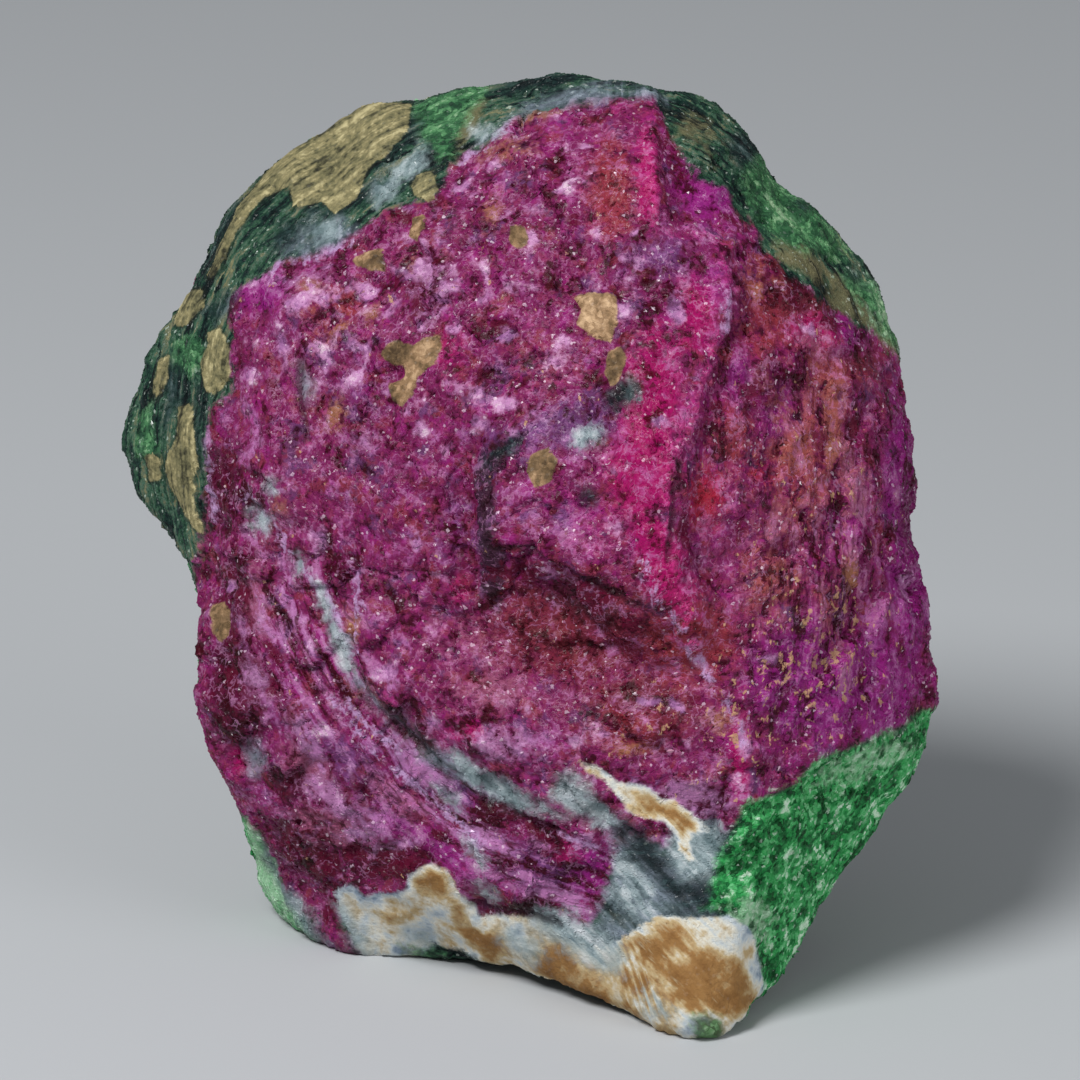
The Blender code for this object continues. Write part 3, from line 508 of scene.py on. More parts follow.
def box_grid(across, deep):
    """A box divided into quads: its points in -1..1, its quads, and where each corner of them
    lies on its side, from 0 to 1, with the side's number."""
    size = np.array((across, across, deep))
    points, quads, sides = [], [], []
    count = 0
    for side in range(6):
        axis = side // 2
        end = side % 2
        one, two = [(axis + 1) % 3, (axis + 2) % 3]
        n, m = size[one], size[two]
        i, j = np.meshgrid(np.arange(n + 1), np.arange(m + 1), indexing="ij")
        block = np.zeros((n + 1, m + 1, 3), int)
        block[..., one] = i
        block[..., two] = j
        block[..., axis] = end * size[axis]
        index = count + np.arange((n + 1) * (m + 1)).reshape(n + 1, m + 1)
        count += (n + 1) * (m + 1)
        loop = [index[:-1, :-1], index[1:, :-1], index[1:, 1:], index[:-1, 1:]]
        corner = np.stack([i / n, j / m], -1)
        place_on = [corner[:-1, :-1], corner[1:, :-1], corner[1:, 1:], corner[:-1, 1:]]
        if end == 0:
            loop.reverse()
            place_on.reverse()
        points.append(block.reshape(-1, 3))
        quads.append(np.stack([part.ravel() for part in loop], -1))
        sides.append((side, np.stack([part.reshape(-1, 2) for part in place_on], 1)))
    points = np.concatenate(points)
    unique, inverse = np.unique(points, axis=0, return_inverse=True)
    quads = inverse.ravel()[np.concatenate(quads)]
    return unique * 2.0 / size - 1.0, quads, sides


# Where each side of the box lies on the skin's map: left, bottom, width, height. The show side
# gets the largest share.
MAP_OF_SIDE = {
    0: (0.625, 0.0, 0.1825, 0.615),
    1: (0.8125, 0.0, 0.1825, 0.615),
    2: (0.0, 0.0, 0.615, 0.1825),
    3: (0.0, 0.1875, 0.615, 0.1825),
    4: (0.625, 0.625, 0.37, 0.37),
    5: (0.0, 0.38, 0.615, 0.615),
}


def skin_map(sides):
    """The skin's map, a corner at a time. The four narrow sides stand upright or lie flat."""
    corners = []
    for side, on in sides:
        left, bottom, width, height = MAP_OF_SIDE[side]
        across, up = on[..., 0], on[..., 1]
        if side in (2, 3):
            across, up = up, across
        corners.append(np.stack([left + across * width, bottom + up * height], -1))
    return np.concatenate(corners).reshape(-1, 2)


def edge_list(quads):
    pairs = np.concatenate([quads[:, [k, (k + 1) % 4]] for k in range(4)])
    return np.unique(np.sort(pairs, axis=1), axis=0)


def neighbour_mean(values, edges):
    """The mean over each point's neighbours."""
    total = np.zeros_like(values)
    count = np.zeros(len(values))
    for a, b in ((0, 1), (1, 0)):
        for k in range(values.shape[1]):
            total[:, k] += np.bincount(edges[:, a], values[edges[:, b], k], len(values))
        count += np.bincount(edges[:, a], minlength=len(values))
    return total / count[:, None]


def point_normals(points, quads):
    a, b, c, d = (points[quads[:, k]] for k in range(4))
    face = np.cross(c - a, d - b)
    total = np.zeros_like(points)
    for k in range(4):
        for axis in range(3):
            total[:, axis] += np.bincount(quads[:, k], face[:, axis], len(points))
    return total / np.linalg.norm(total, axis=1)[:, None]


def solid_tree(node):
    """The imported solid's surface, to find places on."""
    points = np.empty(len(node.data.vertices) * 3)
    node.data.vertices.foreach_get("co", points)
    faces = [list(face.vertices) for face in node.data.polygons]
    return BVHTree.FromPolygons(points.reshape(-1, 3).tolist(), faces)


def nearest(tree, points):
    return np.array([tree.find_nearest(p)[0] for p in points * MM]) / MM


def wrapped(node):
    """An even grid on the solid: the divided box, drawn in along its rays and relaxed on the
    solid, with the solid's own facets then softened by 0.3 mm at most."""
    grid, quads, sides = box_grid(FACE_QUADS, SIDE_QUADS)
    tree = solid_tree(node)
    heart = place([HEART])[0]
    rays = place(np.array(HEART) + np.tan(grid * math.pi / 4) * GIRTH) - heart
    rays /= np.linalg.norm(rays, axis=1)[:, None]
    start = Vector(heart * MM)
    points = np.array([tree.ray_cast(start, Vector(ray))[0] for ray in rays]) / MM
    edges = edge_list(quads)
    for _ in range(4):
        points = nearest(tree, 0.5 * points + 0.5 * neighbour_mean(points, edges))
    soft = points
    for _ in range(8):
        soft = 0.5 * soft + 0.5 * neighbour_mean(soft, edges)
    move = soft - points
    far = np.linalg.norm(move, axis=1)[:, None]
    return points + move * np.minimum(1.0, 0.3 / np.maximum(far, 1e-6)), quads, sides, edges


def cell_tilt(points, size, steps, seed):
    """Facets: each cell of broken rock lies tilted its own way. steps is how steeply."""
    out = np.empty(len(points))
    for n, point in enumerate(points / size + seed):
        near = noise.voronoi(point)[1][0]
        lean = noise.cell_vector(near * 7.3 + Vector((seed, 0.5, 0.2))) - Vector((0.5, 0.5, 0.5))
        out[n] = lean.dot(Vector(point) - near)
    return out * size * steps


def rough(points, size, octaves=3):
    """Soft noise about zero, with features of that size."""
    return np.array([noise.fractal(point, 0.9, 2.0, octaves) for point in points / size])


def smooth_step(low, high, value):
    t = np.clip((value - low) / (high - low), 0.0, 1.0)
    return t * t * (3.0 - 2.0 * t)


def off_piece(a, b, seen):
    """Distance in millimetres from the straight piece of line between two points."""
    along = b - a
    t = np.clip(((seen - a) @ along) / (along @ along), 0.0, 1.0)
    return np.linalg.norm(seen - a - t[:, None] * along, axis=1)


def off_lines(lines, seen):
    """Distance in millimetres from the nearest of some open lines."""
    near = np.full(len(seen), 99.0)
    for line in map(np.array, lines):
        for a, b in zip(line[:-1], line[1:]):
            near = np.minimum(near, off_piece(a, b, seen))
    return near


def inside(outlines, seen):
    """How deep inside the nearest outline a place is, in millimetres; below zero is outside."""
    best = np.full(len(seen), -DEEPEST)
    for outline in outlines:
        line = np.array(outline)
        near = np.full(len(seen), DEEPEST)
        within = np.zeros(len(seen), bool)
        for a, b in zip(line, np.roll(line, -1, axis=0)):
            near = np.minimum(near, off_piece(a, b, seen))
            crosses = (a[1] > seen[:, 1]) != (b[1] > seen[:, 1])
            run, rise = b - a
            within ^= crosses & (seen[:, 0] < a[0] + (seen[:, 1] - a[1]) * run / (rise or 1e-9))
        best = np.maximum(best, np.where(within, near, -near))
    return best


def spots(blobs, seen):
    """Soft round or oval spots, each (u, v, half width, half height, turn in degrees, weight)."""
    total = np.zeros(len(seen))
    for u, v, wide, high, turn, weight in blobs:
        x, y = seen[:, 0] - u, seen[:, 1] - v
        c, s = math.cos(math.radians(turn)), math.sin(math.radians(turn))
        far = ((x * c + y * s) / wide) ** 2 + ((y * c - x * s) / high) ** 2
        total = np.maximum(total, weight * np.exp(-far))
    return total


def attribute(mesh, name, values, kind="FLOAT", field="value"):
    layer = mesh.attributes.new(name, kind, "POINT")
    layer.data.foreach_set(field, np.asarray(values, np.float32).ravel())


def layers(uvw, centre, lean, squash=1.0):
    """Where points lie in bent layers: across them, and twice along them, in millimetres."""
    turn = np.arctan2(uvw[:, 1] - centre[1], uvw[:, 0] - centre[0])
    out = np.hypot(uvw[:, 0] - centre[0], (uvw[:, 1] - centre[1]) * squash)
    out += lean * uvw[:, 2]
    return np.stack([out, 40 * np.cos(turn), 40 * np.sin(turn)], -1)


def build_skin(node):
    """The stone's surface: the solid's form with its fine relief, and the zones of the rock."""
    points, quads, sides, edges = wrapped(node)
    normals = point_normals(points, quads)
    broad = normals
    for _ in range(12):
        broad = neighbour_mean(broad, edges)
    uvw = unplace(points)
    near = SIGHT / (SIGHT - uvw[:, 2])
    seen = np.stack([uvw[:, 0] * near, SIGHT_V + (uvw[:, 1] - SIGHT_V) * near], -1)
    front = smooth_step(*FRONT_FACING, broad @ AXES[2] + FRONT_SWAY * rough(uvw, 8.0, 2))

    depth = {}
    for name, outlines in ZONES.items():
        rear = np.full(len(uvw), -DEEPEST)
        if name in REAR_ZONES:
            size, over, lies = REAR_ZONES[name]
            rear = np.maximum((rough(uvw + lies * size, size, 2) - over) * size, -DEEPEST)
        depth[name] = inside(outlines, seen) * front + rear * (1.0 - front)

    upright = smooth_step(*UPRIGHT, uvw[:, 0]) * smooth_step(*UPRIGHT_FOOT, uvw[:, 1])
    upright = upright[:, None]
    flow = layers(uvw, SWIRL, SWIRL_LEAN, 0.9) * (1 - upright) + (uvw + (8, 0, 0)) * upright
    across = np.array(REAR_LAYERS) / np.linalg.norm(REAR_LAYERS)
    sheets = uvw @ across + 3.0 * rough(uvw, 16.0, 2)
    rim = layers(uvw, RIM_SWIRL, RIM_LEAN) * front[:, None] + (1.0 - front[:, None]) * np.stack(
        [sheets, uvw @ np.cross(across, (0, 0, 1)), uvw @ np.cross(across, (1, 0, 0))], -1)
    turn = np.arctan2(uvw[:, 1] - RIM_SWIRL[1], uvw[:, 0] - RIM_SWIRL[0])
    rise = np.stack([np.cos(turn), np.sin(turn), np.full(len(turn), RIM_LEAN)], -1)
    lay = np.cross(unplace(points + normals) - uvw, rise) @ AXES

    ruby = smooth_step(-0.4, 0.4, depth["ruby"])
    crust = smooth_step(-0.3, 0.4, np.maximum(depth["crust"], depth["cream"]))
    layered = np.maximum(spots(LAYERED, seen) * front, 1.0 - ruby)
    # Broken facets of three sizes with a little grit, and ledges along the layers. The crusts are
    # smoother, and so is the rim that is seen edge-on.
    relief = cell_tilt(uvw, 6.5, 0.3, 5.0) + cell_tilt(uvw, 3.0, 0.34, 3.0)
    relief += cell_tilt(uvw, 1.5, 0.28, 11.0) + 0.12 * rough(uvw, 0.9)
    ledges = rough(np.where(ruby[:, None] > 0.5, flow, rim) / (1.7, 9.0, 9.0), 1.0, 2)
    relief += (0.5 + 0.5 * (1.0 - ruby)) * (np.abs(ledges) - 0.2) * layered
    relief *= (1.0 - 0.6 * crust) * (0.55 + 0.45 * np.maximum(ruby, 1.0 - front))
    relief *= 1.0 - 0.45 * np.exp(-(broad @ AXES[2] / 0.3) ** 2)
    # The crusts lie on the rock, ridges stand proud of it and cracks are sunk, in millimetres.
    relief += 0.25 * smooth_step(-0.1, 0.3, depth["crust"])
    relief += 0.45 * np.clip(1.0 - off_lines(RIDGES, seen) / 1.5, 0.0, 1.0) * front
    relief -= 0.5 * np.exp(-(off_lines(CRACKS, seen) / 0.4) ** 2) * front
    points = points + normals * relief[:, None]
    points[:, 2] = np.maximum(points[:, 2], 0.0)

    mesh = bpy.data.meshes.new("rough_skin")
    mesh.from_pydata((points * MM).tolist(), [], quads.tolist())
    layout = mesh.uv_layers.new(name="OFBake")
    layout.data.foreach_set("uv", skin_map(sides).ravel())
    mesh.shade_smooth()
    for name, values in (("at", unplace(points)), ("flow", flow), ("rim", rim), ("lay", lay)):
        attribute(mesh, name, values, "FLOAT_VECTOR", "vector")
    drawn = {**depth, "layered": layered}
    for name, (lines, wide) in LINES.items():
        drawn[name] = np.exp(-(off_lines(lines, seen) / wide) ** 2) * front
    for name, blobs in SPOTS.items():
        drawn[name] = spots(blobs, seen) * front
    for trio in TRIOS:
        values = np.zeros((len(points), 3))
        for column, name in enumerate(trio):
            values[:, column] = drawn[name]
        attribute(mesh, "_".join(trio), values, "FLOAT_VECTOR", "vector")
    off_table = smooth_step(*ON_TABLE, points[:, 2])
    ruby = ruby * (1 - crust)
    attribute(mesh, "ruby_grain", ruby * off_table)
    attribute(mesh, "green_grain", (1 - ruby) * (1 - crust) * front * off_table)
    attribute(mesh, "rear_grain", (1 - ruby) * (1 - front) * off_table)
    skin = bpy.data.objects.new("rough_skin", mesh)
    bpy.context.scene.collection.objects.link(skin)
    return skin


def linear(code):
    """An sRGB hex colour as linear RGBA."""
    parts = [int(code[k:k + 2], 16) / 255 for k in (1, 3, 5)]
    return [c / 12.92 if c <= 0.04045 else ((c + 0.055) / 1.055) ** 2.4 for c in parts] + [1.0]


def add(tree, kind, sockets=None, out=0, stops=None, **settings):
    """Adds a node with its settings, sets or links its sockets, and gives back an output."""
    made = tree.nodes.new(kind)
    for name, value in settings.items():
        setattr(made, name, value)
    for key, value in (sockets or {}).items():
        if isinstance(value, bpy.types.NodeSocket):
            tree.links.new(value, made.inputs[key])
        else:
            made.inputs[key].default_value = value
    if stops:
        ramp = made.color_ramp
        while len(ramp.elements) < len(stops):
            ramp.elements.new(1.0)
        for element, (position, code) in zip(ramp.elements, stops):
            element.position = position
            element.color = linear(code)
    return made.outputs[out] if made.outputs else made


def pattern(tree, at, sizes, seed=0.0, detail=3.0, roughness=0.6):
    """Noise with features of those sizes in millimetres along the three axes of at."""
    moved = add(tree, "ShaderNodeVectorMath",
                {0: at, 1: [1 / size for size in sizes], 2: (seed, seed, seed)},
                operation="MULTIPLY_ADD")
    return add(tree, "ShaderNodeTexNoise",
               {"Vector": moved, "Scale": 1.0, "Detail": detail, "Roughness": roughness})


def seam(tree, value):
    """How far noise is from its middle: nothing along thin wandering lines."""
    away = add(tree, "ShaderNodeMath", {0: value, 1: 0.5}, operation="SUBTRACT")
    return add(tree, "ShaderNodeMath", {0: away}, operation="ABSOLUTE")


def weighed(tree, parts):
    """The sum of values, each with its weight."""
    (total, weight), *others = parts
    if weight != 1.0:
        total = add(tree, "ShaderNodeMath", {0: total, 1: weight}, operation="MULTIPLY")
    for value, weight in others:
        total = add(tree, "ShaderNodeMath", {0: value, 1: weight, 2: total},
                    operation="MULTIPLY_ADD")
    return total


def passed(tree, parts, low, high, top=1.0):
    """How far a sum of weighted values has gone from low to high."""
    return add(tree, "ShaderNodeMapRange",
               {"Value": weighed(tree, parts), "From Min": low, "From Max": high, "To Max": top},
               interpolation_type="SMOOTHSTEP")


def laid(tree, below, above, parts, low, high, top=1.0):
    """A colour laid over another where a sum of weighted values goes from low to high."""
    above = linear(above) if isinstance(above, str) else above
    share = passed(tree, parts, low, high, top)
    return add(tree, "ShaderNodeMix", {0: share, 6: below, 7: above}, out=2, data_type="RGBA")


def stone_material():
    """Rough ruby in zoisite, broken and unpolished: opaque crystals of many reds that each
    glint a little, sugary green zoisite in streaks, and dull crusts on both."""
    material = bpy.data.materials.new("rough_ruby_in_zoisite")
    material.use_nodes = True
    tree = material.node_tree
    tree.nodes.clear()
    at, flow, rim = (add(tree, "ShaderNodeAttribute", attribute_name=name, out="Vector")
                     for name in ("at", "flow", "rim"))
    given = {}
    for trio in TRIOS:
        held = add(tree, "ShaderNodeAttribute", attribute_name="_".join(trio), out="Vector")
        given.update(zip(trio, add(tree, "ShaderNodeSeparateXYZ", {0: held}).node.outputs))

    # Single crystals are drawn about twice as coarse as real ones, so that they show. cell and
    # cell_too are two random values for each, and glint is one for each of some finer ones: it
    # sets their specular level, and turns a few of them pale as painted glints.
    cell = add(tree, "ShaderNodeTexVoronoi", {"Vector": at, "Scale": 1 / 0.5}, out="Color")
    cell = add(tree, "ShaderNodeSeparateColor", {0: cell})
    cell_too = cell.node.outputs[1]
    glint = add(tree, "ShaderNodeTexVoronoi", {"Vector": at, "Scale": 1 / 0.26}, out="Color")
    glint = add(tree, "ShaderNodeSeparateColor", {0: glint})
    fine = pattern(tree, at, (0.8, 0.8, 0.8), 0.0, 3.0, 0.65)
    middle = pattern(tree, at, (2.4, 2.4, 2.4), 13.0)
    large = pattern(tree, at, (7.0, 7.0, 7.0), 8.0, 2.0, 0.5)
    streak = pattern(tree, flow, (1.5, 8.0, 8.0), 3.0)
    hair = pattern(tree, flow, (0.7, 4.5, 4.5), 21.0)
    bold = weighed(tree, [(streak, 1.9), (hair, 1.5)])
    bold = add(tree, "ShaderNodeMath", {0: bold, 1: -1.15}, operation="ADD")
    run = add(tree, "ShaderNodeMix", {0: given["layered"], 2: middle, 3: bold})

    # Ruby: granular. The body's hue drifts between crimson, magenta, brown and violet every few
    # millimetres, and the crystals run from dark maroon to pale lilac.
    tone, grit = (add(tree, "ShaderNodeMapRange", {
        "Value": weighed(tree, [(cell, 0.16), (fine, 0.5), (one, 1.12), (large, 0.4),
                                (given["maroon"], -0.12)]),
        "From Min": 0.85, "From Max": 1.35}) for one in (run, middle))
    body = linear("#761e52")
    for size, seed, code, low, high, top in [
        (3.2, 26.0, "#8e206c", 0.52, 0.64, 0.85), (2.8, 41.0, "#822e3c", 0.54, 0.66, 0.8),
        (3.4, 77.0, "#5e3a66", 0.56, 0.67, 0.75), (2.0, 59.0, "#ac3c7e", 0.6, 0.7, 0.6),
    ]:
        patch = pattern(tree, at, (size, size, size), seed, 3.0, 0.65)
        body = laid(tree, body, code, [(patch, 1.0)], low, high, top)
    body = laid(tree, body, "#8c3250", [(cell_too, 0.5), (fine, 1.0)], 0.82, 1.0, 0.5)
    drift = weighed(tree, [(run, 1.2), (fine, 0.9)])
    for name, (code, _) in TINTS.items():
        body = laid(tree, body, code, [(given[name], 1.0), (drift, 1.0)], 1.3, 1.8, 0.85)
    dark = add(tree, "ShaderNodeMix", {0: 1.0, 6: body, 7: linear("#823a56")}, out=2,
               data_type="RGBA", blend_type="MULTIPLY")
    light = add(tree, "ShaderNodeMix", {0: 0.38, 6: body, 7: linear("#d280c8")}, out=2,
                data_type="RGBA")
    ruby = laid(tree, dark, body, [(tone, 1.0)], 0.0, 0.5)
    ruby = laid(tree, ruby, light, [(tone, 1.0)], 0.58, 1.1, 0.9)
    # Painted highlight: a bright pink line along the ridge crests, as if they caught the light.
    ruby = laid(tree, ruby, "#d0408c", [(given["crest"], 0.4), (fine, 1.0), (middle, 0.5)],
                1.0, 1.3, 0.4)
    pale_grain = add(tree, "ShaderNodeValToRGB", {0: grit}, stops=[
        (0.1, "#955f94"), (0.5, "#bf84b6"), (0.8, "#cf9ec6"), (1.0, "#e0c4d6")])
    for name, code, share, size, seed, low, high, top in [
        ("spotted", "#5a0828", 0.17, 2.2, 88.0, 0.8, 0.94, 0.85),
        ("dappled", pale_grain, 0.15, 2.6, 72.0, 0.8, 1.02, 0.88),
    ]:
        round_ones = pattern(tree, at, (size, size, size), seed, 2.0)
        drawn_out = pattern(tree, flow, (0.6 * size, 3.4 * size, 3.4 * size), seed, 2.0)
        either = add(tree, "ShaderNodeMix", {0: given["layered"], 2: round_ones, 3: drawn_out})
        ruby = laid(tree, ruby, code, [(either, 1.0), (given[name], share), (cell_too, 0.06),
                                       (fine, 0.25)], low, high, top)
    thread = seam(tree, pattern(tree, flow, (1.6, 9.0, 9.0), 31.0, 2.0))
    wire = seam(tree, pattern(tree, at, (1.3, 1.3, 1.3), 57.0, 2.0))
    ruby = laid(tree, ruby, "#be82ae", [(wire, -1.0), (middle, 0.16)], 0.055, 0.085, 0.36)
    ruby = laid(tree, ruby, "#42041a", [(thread, -1.0), (given["layered"], 0.05), (fine, 0.06)],
                0.045, 0.075, 0.75)
    ruby = laid(tree, ruby, "#bc98c4", [(given["wisp"], 0.45), (hair, 1.0), (fine, 0.9)],
                1.24, 1.52, 0.8)
    fleck = pattern(tree, at, (0.9, 1.4, 0.9), 91.0, 3.0)
    ruby = laid(tree, ruby, "#c09672", [(fleck, 1.0), (given["flecked"], 0.15), (cell_too, 0.05)],
                0.72, 0.78, 0.8)
    # Painted glints: a few of the finest crystals turned pale, as tiny highlights.
    ruby = laid(tree, ruby, "#e6c8dc", [(glint, 1.0)], 0.984, 0.99, 0.45)

    # Zoisite: fine green sugar in streaks along the rim, parted by thin dark seams of hornblende.
    fibre = pattern(tree, rim, (0.7, 8.0, 8.0), 17.0)
    broad = pattern(tree, rim, (2.4, 11.0, 11.0), 29.0)
    band = weighed(tree, [(fibre, 1.0), (broad, 0.75), (fine, 0.45), (cell, 0.1)])
    band = add(tree, "ShaderNodeMapRange", {"Value": band, "From Min": 0.92, "From Max": 1.4})
    green = add(tree, "ShaderNodeValToRGB", {0: band}, stops=[
        (0.0, "#091314"), (0.2, "#101f1f"), (0.38, "#1b342d"), (0.52, "#2d4f3a"),
        (0.66, "#446050"), (0.8, "#5c6652"), (1.0, "#7c7a5a")])
    green = laid(tree, green, "#6f6a4d", [(given["olive"], 0.8), (middle, 1.0), (fine, 0.5)],
                 0.95, 1.3, 0.85)
    sugary = weighed(tree, [(cell, 0.36), (fine, 0.4), (middle, 1.4)])
    sugary = add(tree, "ShaderNodeMapRange", {"Value": sugary, "From Min": 0.8, "From Max": 1.4})
    leaf = add(tree, "ShaderNodeValToRGB", {0: sugary}, stops=[
        (0.0, "#0e421f"), (0.28, "#20723c"), (0.52, "#349c52"), (0.76, "#66bc7c"),
        (1.0, "#cce8ce")])
    sugar = pattern(tree, at, (0.9, 0.9, 0.9), 63.0, 2.0)
    turned = add(tree, "ShaderNodeMapping", {"Vector": at, "Rotation": (0.0, 0.0, -0.25 * math.pi)})
    leaf = laid(tree, leaf, "#0d4620", [(pattern(tree, turned, (4.0, 1.7, 4.0), 45.0), 1.0),
                                        (fine, 0.2)], 0.62, 0.84, 0.65)
    leaf = laid(tree, leaf, "#86cf94", [(pattern(tree, turned, (3.0, 1.3, 3.0), 52.0), 1.0),
                                        (fine, 0.3)], 0.76, 0.96, 0.5)
    # The last of these, on the finest crystals, is painted glints: pale specks standing for tiny
    # highlights.
    for code, parts, low, high, top in [
        ("#9cc4a0", [(given["minted"], 0.5), (middle, 0.6), (sugar, 1.0)], 1.0, 1.4, 0.8),
        ("#cfe2d0", [(sugar, 1.0), (cell, 0.12), (given["minted"], 0.1)], 0.76, 0.86, 0.45),
        ("#dcecdc", [(glint, 1.0), (given["minted"], 0.02)], 0.98, 0.99, 0.4),
    ]:
        parts = [(weighed(tree, parts), 1.0)]
        leaf, green = (laid(tree, one, code, parts, low, high, top) for one in (leaf, green))
    green = laid(tree, green, "#091314", [(fibre, -1.0), (fine, -0.1)], -0.48, -0.4, 0.8)
    moss = weighed(tree, [(band, 0.3), (sugary, 0.6), (given["minted"], 0.18)])
    moss = add(tree, "ShaderNodeValToRGB", {0: moss}, stops=[
        (0.12, "#1f3d2b"), (0.34, "#2e583a"), (0.52, "#42734c"), (0.7, "#5f9264"),
        (0.94, "#94b28e")])
    moss = laid(tree, moss, "#b4ceb0", [(sugar, 1.0), (fine, 0.6)], 0.96, 1.24, 0.6)

    # The crusts: khaki and streaked on the rim, browner in the ruby; creamy chalk with ochre
    # stains along the foot.
    sheet = weighed(tree, [(fibre, 0.5), (band, 0.15), (fine, 0.6), (cell, 0.12), (broad, 0.5)])
    sheet = add(tree, "ShaderNodeMapRange", {"Value": sheet, "From Min": 0.62, "From Max": 1.2})
    tan = add(tree, "ShaderNodeValToRGB", {0: sheet}, stops=[
        (0.0, "#2a2a22"), (0.2, "#4c4a36"), (0.42, "#706c4e"), (0.7, "#8e8560"), (1.0, "#bfb488")])
    tan = laid(tree, tan, "#2a2a20", [(fibre, -1.0), (fine, -0.4)], -0.6, -0.53, 0.4)
    inner = weighed(tree, [(grit, 0.8), (given["chalky"], 0.35)])
    inner = add(tree, "ShaderNodeValToRGB", {0: inner}, stops=[
        (0.0, "#4a3a29"), (0.3, "#6e583e"), (0.6, "#98795a"), (1.0, "#d6b48e")])
    tan = laid(tree, tan, inner, [(given["ruby"], 1.0)], 0.0, 0.8)
    smooth = pattern(tree, at, (3.4, 3.4, 3.4), 19.0)
    slant = weighed(tree, [(pattern(tree, turned, (1.5, 8.0, 8.0), 3.0), 1.9),
                           (pattern(tree, turned, (0.7, 4.5, 4.5), 21.0), 1.5)])
    slant = add(tree, "ShaderNodeMath", {0: slant, 1: -1.15}, operation="ADD")
    mottle = add(tree, "ShaderNodeMix", {0: passed(tree, [(given["slanted"], 1.0)], 0.0, 1.0, 0.35),
                                         2: smooth, 3: slant})
    within = passed(tree, [(given["ochre"], 1.0)], -0.9, 0.9)
    rind = passed(tree, [(given["cream"], -1.0)], -1.4, 0.2)
    stain = weighed(tree, [(mottle, 0.8), (middle, 0.35), (fine, 0.2), (within, 0.18), (rind, -0.1),
                           (given["chalky"], -0.2)])
    cream = add(tree, "ShaderNodeValToRGB", {0: stain}, stops=[
        (0.36, "#8494a6"), (0.46, "#bfc9ce"), (0.56, "#dad7ca"), (0.67, "#bea77e"),
        (0.79, "#9a7345"), (1.0, "#7e5830")])
    cream = laid(tree, cream, "#d0c09c", [(slant, 1.0), (given["slanted"], 0.4)], 1.15, 1.4, 0.6)
    slant = add(tree, "ShaderNodeMix", {0: given["slanted"], 2: bold, 3: slant})
    drawn = weighed(tree, [(grit, 0.2), (slant, 0.62), (large, 0.18)])
    pale = add(tree, "ShaderNodeValToRGB", {0: drawn}, stops=[
        (0.1, "#36464a"), (0.35, "#66797d"), (0.6, "#95a5a8"), (0.9, "#d0d6d8")])
    slate = add(tree, "ShaderNodeValToRGB", {0: drawn}, stops=[
        (0.1, "#20282b"), (0.3, "#424d52"), (0.5, "#626f77"), (0.7, "#8792a0"), (0.95, "#b4bac6")])
    black = add(tree, "ShaderNodeValToRGB", {0: band}, stops=[
        (0.0, "#090f11"), (0.5, "#142326"), (0.8, "#2c4143"), (1.0, "#566a6c")])

    sway = weighed(tree, [(fine, 1.4), (middle, 1.6)])
    # Painted shade: a thin dark rim round the crusts, as if they stood up from the rock and shaded
    # it.
    colour = laid(tree, green, "#1d2018", [(given["crust"], 1.0), (sway, 0.35)], 0.1, 0.4, 0.5)
    sway = weighed(tree, [(sway, 1.0), (streak, 1.2)])
    for name, part, wobble, soft, top in [
        ("ruby", ruby, 1.0, 0.4, 1.0), ("slate", slate, 1.3, 1.1, 0.85),
        ("pale", pale, 1.3, 0.8, 0.9), ("leaf", leaf, 1.2, 0.6, 1.0),
        ("moss", moss, 1.2, 0.7, 1.0), ("black", black, 1.1, 0.8, 0.9),
        ("cream", cream, 0.5, 0.25, 1.0), ("seep", pale, 1.5, 0.9, 0.8),
        ("sprig", moss, 0.8, 0.5, 0.9), ("crust", tan, 0.25, 0.1, 1.0),
    ]:
        colour = laid(tree, colour, part, [(given[name], 1.0), (sway, wobble)],
                      2.1 * wobble - soft, 2.1 * wobble + soft, top)
    # Painted shade: the cracks darkened, as if shade lay in them.
    colour = laid(tree, colour, "#241018", [(given["fissure"], 1.0)], 0.3, 0.9, 0.6)

    bump = weighed(tree, [(fine, 0.6), (cell, 0.4), (middle, 0.5)])
    normal = add(tree, "ShaderNodeBump", {"Height": bump, "Strength": 0.8, "Distance": 0.4 * MM})
    dull = add(tree, "ShaderNodeMath", {0: given["cream"], 1: given["crust"]}, operation="MAXIMUM")
    shine = weighed(tree, [(cell_too, 0.3), (passed(tree, [(dull, 1.0)], -0.2, 0.3), 0.3)])
    shine = add(tree, "ShaderNodeMath", {0: shine, 1: 0.25}, operation="ADD")
    sparkle = passed(tree, [(glint, 1.0)], 0.92, 1.0, 0.3)
    sparkle = add(tree, "ShaderNodeMath", {0: sparkle, 1: 0.08}, operation="ADD")
    shader = add(tree, "ShaderNodeBsdfPrincipled", {
        "Base Color": colour, "Roughness": shine, "Normal": normal, "IOR": 1.7,
        "Specular IOR Level": sparkle})
    add(tree, "ShaderNodeOutputMaterial", {"Surface": shader})
    return material


